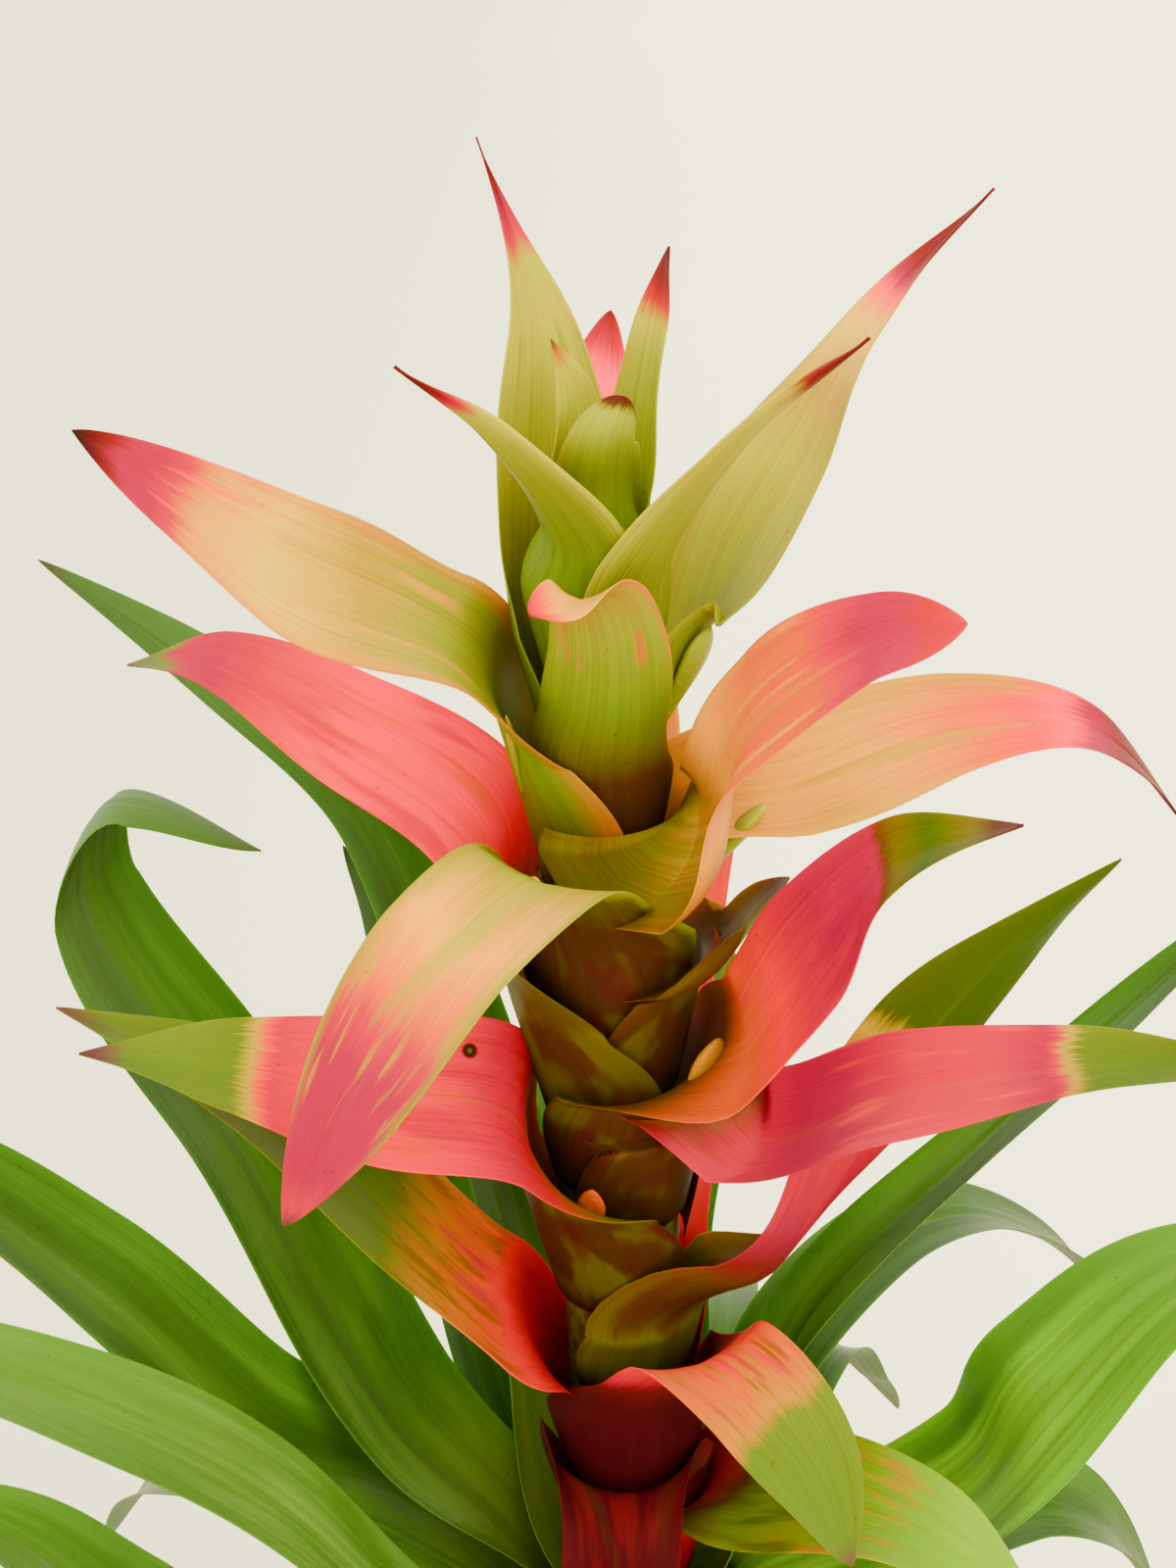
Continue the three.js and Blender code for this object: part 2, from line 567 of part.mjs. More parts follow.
function twineGeometry() {
  const rings = TWINE_RINGS.map(({ turn, tilt }) => {
    const level = outward(turn + RIGHT_ANGLE);
    const steep = outward(turn).multiplyScalar(Math.cos(rad(tilt)));
    steep.z = Math.sin(rad(tilt));
    const centres = Array.from({ length: TWINE_STEPS }, (_, i) => {
      const angle = 2 * Math.PI * i / TWINE_STEPS;
      const direction = level.clone().multiplyScalar(Math.cos(angle)).addScaledVector(steep, Math.sin(angle));
      const point = direction.clone().multiplyScalar(ballRadius(direction) + GAP + TWINE_RADIUS);
      point.z += BALL_CENTRE;
      return point;
    });
    return solidOf(tubeGeometry(centres, centres.map(() => TWINE_RADIUS), TWINE_SIDES, true));
  });
  return geometryOf(Manifold.union(rings));
}

// The whole plant
const kokedama = new THREE.Group();

function addPiece(name, geometry, colour, roughness) {
  const material = new THREE.MeshStandardMaterial({ color: colour, roughness, metalness: 0 });
  const piece = new THREE.Mesh(geometry, material);
  piece.name = name;
  kokedama.add(piece);
}

addPiece("soil_core", soilGeometry(), 0x3a2a1e, 0.95);
addPiece("moss_layer", mossGeometry(), 0x5c7a2c, 0.95);
addPiece("twine", twineGeometry(), 0x9a7b4f, 0.85);
addPiece("stalk", stalkGeometry(), 0x8c8c46, 0.6);
for (const [name, { colour, roughness }] of Object.entries(BLADES)) {
  addPiece(name, pieceGeometry(name), colour, roughness);
}

export default kokedama;
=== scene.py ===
"""Builds the looks of a guzmania kokedama: a tall spike of coloured bracts above green leaves, rooted in
a ball of soil that is wrapped in moss and bound with twine. The front of the plant faces -Y."""

import math

import bpy
import numpy as np
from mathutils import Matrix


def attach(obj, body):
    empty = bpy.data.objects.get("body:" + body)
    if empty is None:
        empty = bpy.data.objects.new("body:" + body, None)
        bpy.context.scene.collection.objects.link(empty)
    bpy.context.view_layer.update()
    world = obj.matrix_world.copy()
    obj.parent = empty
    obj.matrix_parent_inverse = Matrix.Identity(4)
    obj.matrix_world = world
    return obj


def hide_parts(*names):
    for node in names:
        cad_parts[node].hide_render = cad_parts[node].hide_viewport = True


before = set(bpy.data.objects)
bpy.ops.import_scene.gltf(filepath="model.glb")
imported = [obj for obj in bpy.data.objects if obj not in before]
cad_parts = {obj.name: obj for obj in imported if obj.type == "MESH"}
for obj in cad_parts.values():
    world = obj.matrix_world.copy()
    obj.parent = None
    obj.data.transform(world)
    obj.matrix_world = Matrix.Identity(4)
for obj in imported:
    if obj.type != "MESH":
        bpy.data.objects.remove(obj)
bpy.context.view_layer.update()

bl_info = {
    "name": "Guzmania kokedama",
    "version": (1, 0, 0),
    "blender": (4, 5, 0),
    "location": "3D View > Sidebar > Kokedama",
    "description": "Builds a guzmania in a moss ball from parametric surfaces",
    "category": "Object",
}

MM = 0.001
FULL_TURN = 2 * math.pi
BODY = "root"

# Ball of soil, in millimetres. A crumb wave is a wavelength, a strength and a seed.
BALL_RADIUS = 70
BALL_CENTRE = 61
BALL_LUMP = 1.2
SOIL_DEPTH = 6.3
SOIL_TOP = 122
SOIL_ROWS = 60
SOIL_TOP_ROWS = 15
SOIL_COLUMNS = 90
SOIL_CRUMBS = 0.5
CRUMB_WAVES = [(5, 1, 7), (2.2, 0.5, 8)]

# Moss: a mat whose outside rolls in clumps, and tufts of spikes, which lean between two angles in degrees
# and vary in length. A pressed spike under the twine loses most of its length.
MOSS_THICKNESS = 6
MOSS_MOUTH_RADIUS = 24
MOSS_ROWS = 150
MOSS_INSIDE_ROWS = 37
MOSS_COLUMNS = 220
MOSS_CLUMPS = 0.9
CLUMP_WAVES = [(17, 1, 3), (6, 0.6, 4)]
DEEPEST_CLUMP = 3
TUFT_SCATTER = 0.03
TUFT_ROOT = 1.0
LOWEST_TUFT = -0.84
SPIKES = 9
SPIKE_RADIUS = 0.24
SPIKE_SPREAD = 0.5
SPIKE_LEAN = (15, 62)
SPIKE_LENGTH = (0.55, 1.15)
SPIKE_PRESSED = 0.7
SPIKE_FOOT = 0.05
SPIKE_TIP_FOOT = 0.1
SPIKE_NUDGE = 0.01

# Twine: rings by their turn and tilt in degrees, each of twisted strands. A ring lifts near a crossing, and
# dents the moss a little way beside itself.
TWINE_GAP = 0.3
TWINE_RINGS = [(10, 50), (82, 44), (154, 51), (226, 47), (298, 38)]
TWINE_RADIUS = 1.1
TWINE_STRANDS = 3
TWINE_TWISTS = 42
TWINE_STEPS = 360
TWINE_SIDES = 6
TWINE_CROSSING = 3.5
TWINE_SINK = 1.2
TWINE_DENT = 3
STRAND_SHARE = 0.56

# Stalk, which leans to the left above the crown, and its root plug
CROWN = 130
STALK_TOP = 492
STALK_FOOT = SOIL_TOP + 0.5
STALK_LEAN = 15
STALK_HEIGHTS = [350, 440, STALK_TOP]
STALK_RADII = [12.5, 9.5, 2.5]
STALK_ROWS = 240
STALK_COLUMNS = 28
STALK_JOINTS = 0.35
PLUG_RADIUS = 8
PLUG_BOTTOM = 84
PLUG_TOP = SOIL_TOP - 1

# Blades: the bracts and the leaves, which thin from foot to tip. A foot clears the stalk by a gap, also where
# the flat facets of its solid come nearest. Past the sheath's rim the face turns from the stalk to its own
# way up over a distance.
BLADE = 0.8
BLADE_EDGE = 0.6
FOOT_GAP = 0.3
FOOT_FACETS = 6
LEVELLING = 14

# The form of a bract and of a leaf where its own entry doesn't say. A sheath's radius grows by its flare in
# each millimetre. Wrap and clasp are half the angle that it takes round the stalk at its foot and its rim,
# and a skew turns it. Past the rim the section opens to the angle of its channel, and the shoulder narrows
# to the width, which falls to the tip by the powers blunt and tail. The opening and the shoulder are
# distances. Waves of one height run along each margin, a crease along the midline, and ribs beside it.
BRACT_SHAPE = dict(
    flare=0.2, sheath=28, wrap=110, clasp=85, skew=0, channel=50, blunt=2.5, tail=0.8, shoulder=10,
    opening=18, wave=0.7, waves=2.5, crease=0.25, rib=0.03)
LEAF_SHAPE = dict(
    flare=0.38, sheath=28, wrap=95, clasp=50, skew=0, channel=60, blunt=2.6, tail=0.75, shoulder=20,
    opening=60, wave=0.6, waves=3, crease=0.4, rib=0.10)

# The grid of a blade: points across from margin to margin, closer at the margins, and rows along it. A zone
# is the share past the sheath where a form has come in, and the share where it begins to fade.
BLADE_MAP = "blade"
ACROSS = np.concatenate([[-1, -0.985], np.linspace(-0.93, 0.93, 25), [0.985, 1]])
MIN_ROWS = 36
ROW_CROWDING = 1.4
TIP_HALF = 0.12
MARGIN_SHARE = 0.25
CREASE_WIDTH = 0.10
RIBS = 4
WAVE_ZONE = (0.3, 0.75)
WAVE_POWER = 2.5
RIB_ZONE = (0.15, 0.8)

# A flower bud: the shares of its length and girth that form it, and the powers of its fall to the tip
BUD_ROWS = 22
BUD_COLUMNS = 24
BUD_BELLY = 0.7
BUD_SEAT = 0.3
BUD_FLATNESS = 0.4
BUD_FALL = 2.2
BUD_BLUNTNESS = 0.8

# The view, the floor and the lights. The view reaches as far as a number of the floor's radii, and a sun's
# turn is 0 where it shines from the front.
VIEW_MIDDLE = [-15, 0, 439]
LENS = 44.55
SENSOR = 36
NEAREST = 0.01
FARTHEST = 4
FLOOR_ROWS = 24
FLOOR_COLUMNS = 64
SKY_STRENGTH = 4.4
KEY_LIGHT = dict(strength=8.5, width=60, height=58, turn=35, colour=(1.0, 0.97, 0.92))
FILL_LIGHT = dict(strength=7.5, width=90, height=28, turn=-35, colour=(0.95, 0.97, 1.0))

# The shader's values that are the same all over a finish
BRACT_FINISH = dict(
    specular_ior_level=0.08, specular_tint=(1.0, 0.45, 0.1, 1), subsurface_weight=0.25,
    subsurface_scale=0.003, subsurface_radius=(1.0, 0.5, 0.25))
LEAF_FINISH = dict(
    specular_ior_level=0.18, specular_tint=(0.7, 1.0, 0.35, 1), subsurface_weight=0.12,
    subsurface_scale=0.003, subsurface_radius=(0.5, 1.0, 0.2))
BUD_FINISH = dict(
    specular_ior_level=0.1, specular_tint=(1.0, 0.7, 0.15, 1), subsurface_weight=0.35,
    subsurface_scale=0.003)
TUFT_FINISH = dict(specular_ior_level=0.1, subsurface_weight=0.1, subsurface_scale=0.001)
SATIN = dict(specular_ior_level=0.2)
DULL = dict(specular_ior_level=0.1)
MATT = dict(specular_ior_level=0.05)

# The grain of the blades: its millimetres along and across, and its detail. Each blade has seeds of its own,
# which lie some way apart in the noise.
GRAIN_SEEDS = 11
LEAF_GRAIN_SEED = 400
LEAF_SEED = 100
SEED_DISTANCE = 3.7
BRACT_TEETH = (14, 0.9, 2)
BRACT_DRIFT = (45, 14, 2)
BRACT_VEINS = (120, 0.38, 3)
BRACT_GLOSS = (30, 3, 2)
SPECK_PATCHES = (9, 9, 2)
LEAF_DRIFT = (70, 9, 2)
LEAF_RIBS = (400, 2.4, 1)
LEAF_VEINS = (160, 0.42, 3)
LEAF_GLOSS = (60, 2.5, 2)

# How the marks lie over the bracts' colours, unless a bract's own look says otherwise. A blotch's zone fades
# in and out over a share of the blade. The veins shade and lighten by colours that multiply the one below.
BRACT_MARKS = dict(blotches=[], teeth=0.05, drift=0.10, midline=0.04, specks=0.3)
BLOTCH_FADE = 0.06
BLOTCH_STRENGTH = 0.65
BLOTCH_REACH = 0.22
BLOTCH_EDGE = (-0.04, 0.10)
BLOTCH_DETAIL = 2
VEIN_SHADE = (0.8, 0.55, 0.5, 1)
VEIN_LIGHT = (1.2, 1.35, 1.2, 1)

# The bracts from the top down. A base is the height of its foot on the stalk in millimetres, a turn is the
# angle round the stalk from the front, and a path runs along the midline from above the sheath to the tip.
# A roll turns the blade about its midline at each point of the path.
BRACTS = {
    "bract_01": dict(
        base=476, turn=-165, width=12, sheath=10, clasp=60, tail=1,
        path=[[-17, 4, 499], [-17, 5, 510], [-21, 6, 519]]),
    "bract_02": dict(
        base=470, turn=15, width=15, sheath=14, clasp=60, channel=80, tail=0.5, blunt=4,
        path=[[-13, -9, 498], [-12, -11, 508], [-9, -8, 514]]),
    "bract_03": dict(
        base=464, turn=105, width=16, sheath=16, clasp=60,
        path=[[-7, 4, 497], [-5, 7, 515], [-2, 10, 533]], roll=[20, 20, 10]),
    "bract_04": dict(
        base=459, turn=-50, width=27, sheath=18, clasp=75, skew=12, channel=110, blunt=1.8, tail=1.3,
        path=[[-20, -13, 492], [-31, -22, 513], [-43, -30, 526]]),
    "bract_05": dict(
        base=454, turn=65, width=27, sheath=20, clasp=75, skew=-12, channel=110, blunt=1.8, tail=1.3,
        path=[[-2, -11, 488], [10, -18, 511], [26, -26, 529]]),
    "bract_06": dict(
        base=449, turn=-150, width=34, sheath=22, blunt=1.7, tail=1.8,
        path=[[-22, 12, 496], [-23, 16, 517], [-28, 18, 534], [-33, 20, 548]]),
    "bract_07": dict(
        base=436.5, turn=176, width=20, sheath=24, wrap=70, clasp=36, tail=0.7,
        path=[[-14, 24, 480], [-14, 31, 498], [-11, 36, 515]]),
    "bract_08": dict(
        base=443, turn=97, width=34, sheath=16, wrap=90, clasp=48, skew=-25, blunt=2.2, tail=1.4,
        path=[[4, 11, 468], [21, 18, 495], [33, 24, 516], [53, 28, 538]], roll=[15, 22, 5, 0],
        bud=dict(turn=62, rise=10, tip=[6, -3, 472], width=8)),
    "bract_09": dict(
        base=430, turn=0, width=23, sheath=20, wrap=90, clasp=55, tail=0.5,
        path=[[-12, -18, 463], [-12, -21, 477], [-15, -26, 487], [-24, -31, 487]]),
    "bract_10": dict(
        base=423, turn=-79, width=30, clasp=68, skew=-5,
        path=[[-37, -18, 475], [-62, -28, 494], [-88, -40, 520]], roll=[-18, -47, -45],
        bud=dict(turn=-72, rise=12, tip=[-29, -11, 459], width=4)),
    "bract_11": dict(
        base=405, turn=100, width=30, sheath=25, clasp=70, blunt=1.8, tail=1.2,
        path=[[23, 4, 437], [52, 12, 444], [80, 16, 441], [102, 18, 418]], roll=[30, 35, 25, 0],
        bud=dict(turn=72, rise=14, tip=[17, -5, 438], width=9)),
    "bract_12": dict(
        base=415.5, turn=66, width=33, sheath=22, wrap=88, clasp=66, skew=-40, tail=0.7,
        path=[[5.5, -10.5, 442], [12, -22, 463], [30, -29, 481], [43, -34, 487]], roll=[60, 27, 35, 50]),
    "bract_13": dict(
        base=396, turn=172, width=28, wrap=80, clasp=48,
        path=[[-10, 38, 430], [-12, 66, 446], [-14, 96, 450]]),
    "bract_14": dict(
        base=384, turn=-30, width=30.5, clasp=79, skew=15,
        path=[[-23, -36.6, 441.4], [-37, -52, 437], [-51, -56, 417], [-67, -54, 383]],
        bud=dict(turn=-58, rise=20, tip=[-24, -14, 428], width=8)),
    "bract_15": dict(
        base=375, turn=80, width=26, wrap=90, clasp=55, skew=-8,
        path=[[10, -7, 406], [16, -5, 414], [22, -3, 421]]),
    "bract_16": dict(
        base=366.5, turn=-90, width=31, clasp=66, skew=24,
        path=[[-35, 0, 430], [-60, 8, 446], [-81, 12, 457], [-99, 14, 456]], roll=[-35, -40, -30, 0]),
    "bract_17": dict(
        base=353, turn=65, width=31, clasp=78, skew=-20,
        path=[[15, -20, 398], [25, -30, 424.5], [35, -36, 445], [53, -44, 457]], roll=[40, 45, 30, 0],
        bud=dict(turn=50, rise=18, tip=[9, -15, 393], width=9)),
    "bract_18": dict(
        base=343.2, turn=75, width=31, clasp=80,
        path=[[18, -16, 369], [42, -24, 387], [71, -28, 396], [103, -34, 402]], roll=[10, 10, 5, 0]),
    "bract_19": dict(
        base=332.5, turn=155, width=28, wrap=80, clasp=48,
        path=[[0, 38, 372], [10, 66, 392], [22, 96, 396]]),
    "bract_20": dict(
        base=321, turn=-50, width=35, clasp=75, shoulder=22,
        path=[[-30, -20, 379], [-54, -30, 392], [-78, -34, 401], [-103, -36, 406]], roll=[-40, -45, -30, 0],
        bud=dict(turn=-22, rise=20, tip=[-14, -18, 359], width=6)),
    "bract_21": dict(
        base=298, turn=80, width=32, sheath=20, wrap=95, clasp=75, skew=-30, shoulder=14,
        path=[[24, -9, 331], [54, 4, 383], [86, 8, 418]], roll=[-25, -75, -50]),
    "bract_22": dict(
        base=276, turn=-70, width=37, sheath=20, wrap=90, clasp=50, skew=-16, shoulder=14,
        path=[[-36, -16, 327], [-78, -20, 384], [-111, -20, 404]], roll=[-19, -30, 0]),
    "bract_23": dict(
        base=287, turn=160, width=28, wrap=80, clasp=48,
        path=[[2, 38, 322], [10, 64, 344], [18, 92, 350]]),
    "bract_24": dict(
        base=266, turn=25, width=33,
        path=[[7, -34, 329], [17, -46, 332], [27, -54, 323], [35, -59, 302]]),
    "bract_25": dict(
        base=255, turn=-178, width=28, wrap=80, clasp=48,
        path=[[-9, 36, 296], [-10, 56, 318], [-11, 78, 328]]),
    "bract_26": dict(
        base=235.5, turn=60, width=32, clasp=70, skew=-14,
        path=[[22, -24, 280], [38, -41, 297], [54, -54, 302], [74, -65, 287]], roll=[10, 15, 10, 0]),
    "bract_27": dict(
        base=246, turn=-10, width=26,
        path=[[-8, -38, 278], [-10, -70, 274], [-12, -102, 250]]),
}

LEAVES = {
    "leaf_01": dict(
        base=220, turn=-140, width=26,
        path=[[-30, 40, 290], [-44, 50, 345], [-62, 60, 396], [-92, 68, 424], [-134, 85, 446]],
        roll=[0, 0, -10, -20, 0]),
    "leaf_02": dict(
        base=215, turn=95, width=22, skew=12,
        path=[[33, 4, 303], [64, 0, 354], [101, 10, 391], [128, 15, 416]]),
    "leaf_03": dict(
        base=210, turn=-165, width=34, wrap=66, clasp=38,
        path=[[-12, 50, 272], [-14, 90, 300], [-16, 140, 310], [-18, 190, 270]]),
    "leaf_04": dict(
        base=205, turn=-95, width=36, wrap=78, skew=12, blunt=5, tail=0.9,
        path=[[-58, -4, 289], [-88, 0, 364], [-110, 4, 411], [-103, 8, 431], [-78, 14, 416]],
        roll=[-20, -20, -20, -10, 0]),
    "leaf_05": dict(
        base=200, turn=50, width=44, wrap=85,
        path=[[43, -14, 244], [66, -22, 276], [77, -30, 316], [98, -38, 358], [122, -46, 362]],
        roll=[27, 35, 60, 65, 40]),
    "leaf_06": dict(
        base=195, turn=168, width=26, clasp=42,
        path=[[3, 38, 246], [8, 72, 284], [24, 98, 294], [40, 114, 304], [46, 124, 308]]),
    "leaf_07": dict(
        base=190, turn=-70, width=38, skew=-12,
        path=[[-58, -12, 264], [-79, -34, 308], [-104, -44, 360], [-135, -50, 395], [-169, -56, 387]],
        roll=[-20, -25, -25, -20, 0]),
    "leaf_08": dict(
        base=185, turn=125, width=28, skew=-5,
        path=[[31, 30, 265], [57, 50, 281], [82, 60, 281], [110, 65, 260], [133, 70, 216]]),
    "leaf_09": dict(
        base=180, turn=-130, width=30, blunt=4, tail=0.8,
        path=[[-34, 30, 245], [-47, 46, 291], [-56, 60, 336], [-64, 70, 365], [-71, 74, 380]]),
    "leaf_10": dict(
        base=175, turn=-45, width=38, skew=11,
        path=[[-46, -50, 264], [-68, -72, 330], [-91, -92, 378], [-117, -104, 406], [-146, -110, 408]],
        roll=[-20, -25, -25, -20, 0]),
    "leaf_11": dict(
        base=170, turn=140, width=28, clasp=45,
        path=[[22, 30, 214], [44, 62, 234], [61, 80, 205], [74, 90, 180]]),
    "leaf_12": dict(
        base=165, turn=92, width=38,
        path=[[42, 6, 202], [72, 10, 227], [91, 8, 240], [107, 4, 235], [124, 0, 208]]),
    "leaf_13": dict(
        base=160, turn=-75, width=38,
        path=[[-56, -22, 202], [-90, -42, 236], [-105, -56, 280], [-121, -68, 324], [-140, -76, 340]],
        roll=[-10, -20, -20, -20, -10]),
    "leaf_14": dict(
        base=155, turn=12, width=38,
        path=[[8, -50, 222], [14, -98, 248], [18, -148, 238], [20, -190, 190]]),
    "leaf_15": dict(
        base=150, turn=-118, width=38,
        path=[[-40, 20, 186], [-84, 40, 204], [-126, 60, 190], [-156, 76, 140]]),
    "leaf_16": dict(
        base=145, turn=-15, width=38,
        path=[[-13, -48, 200], [-26, -94, 220], [-40, -138, 202], [-50, -172, 150]]),
    "leaf_17": dict(
        base=140, turn=45, width=38,
        path=[[36, -36, 190], [70, -70, 206], [102, -102, 186], [124, -124, 134]]),
    "leaf_18": dict(
        base=135, turn=170, width=38,
        path=[[8, 50, 188], [16, 96, 208], [22, 140, 186], [26, 172, 132]]),
}

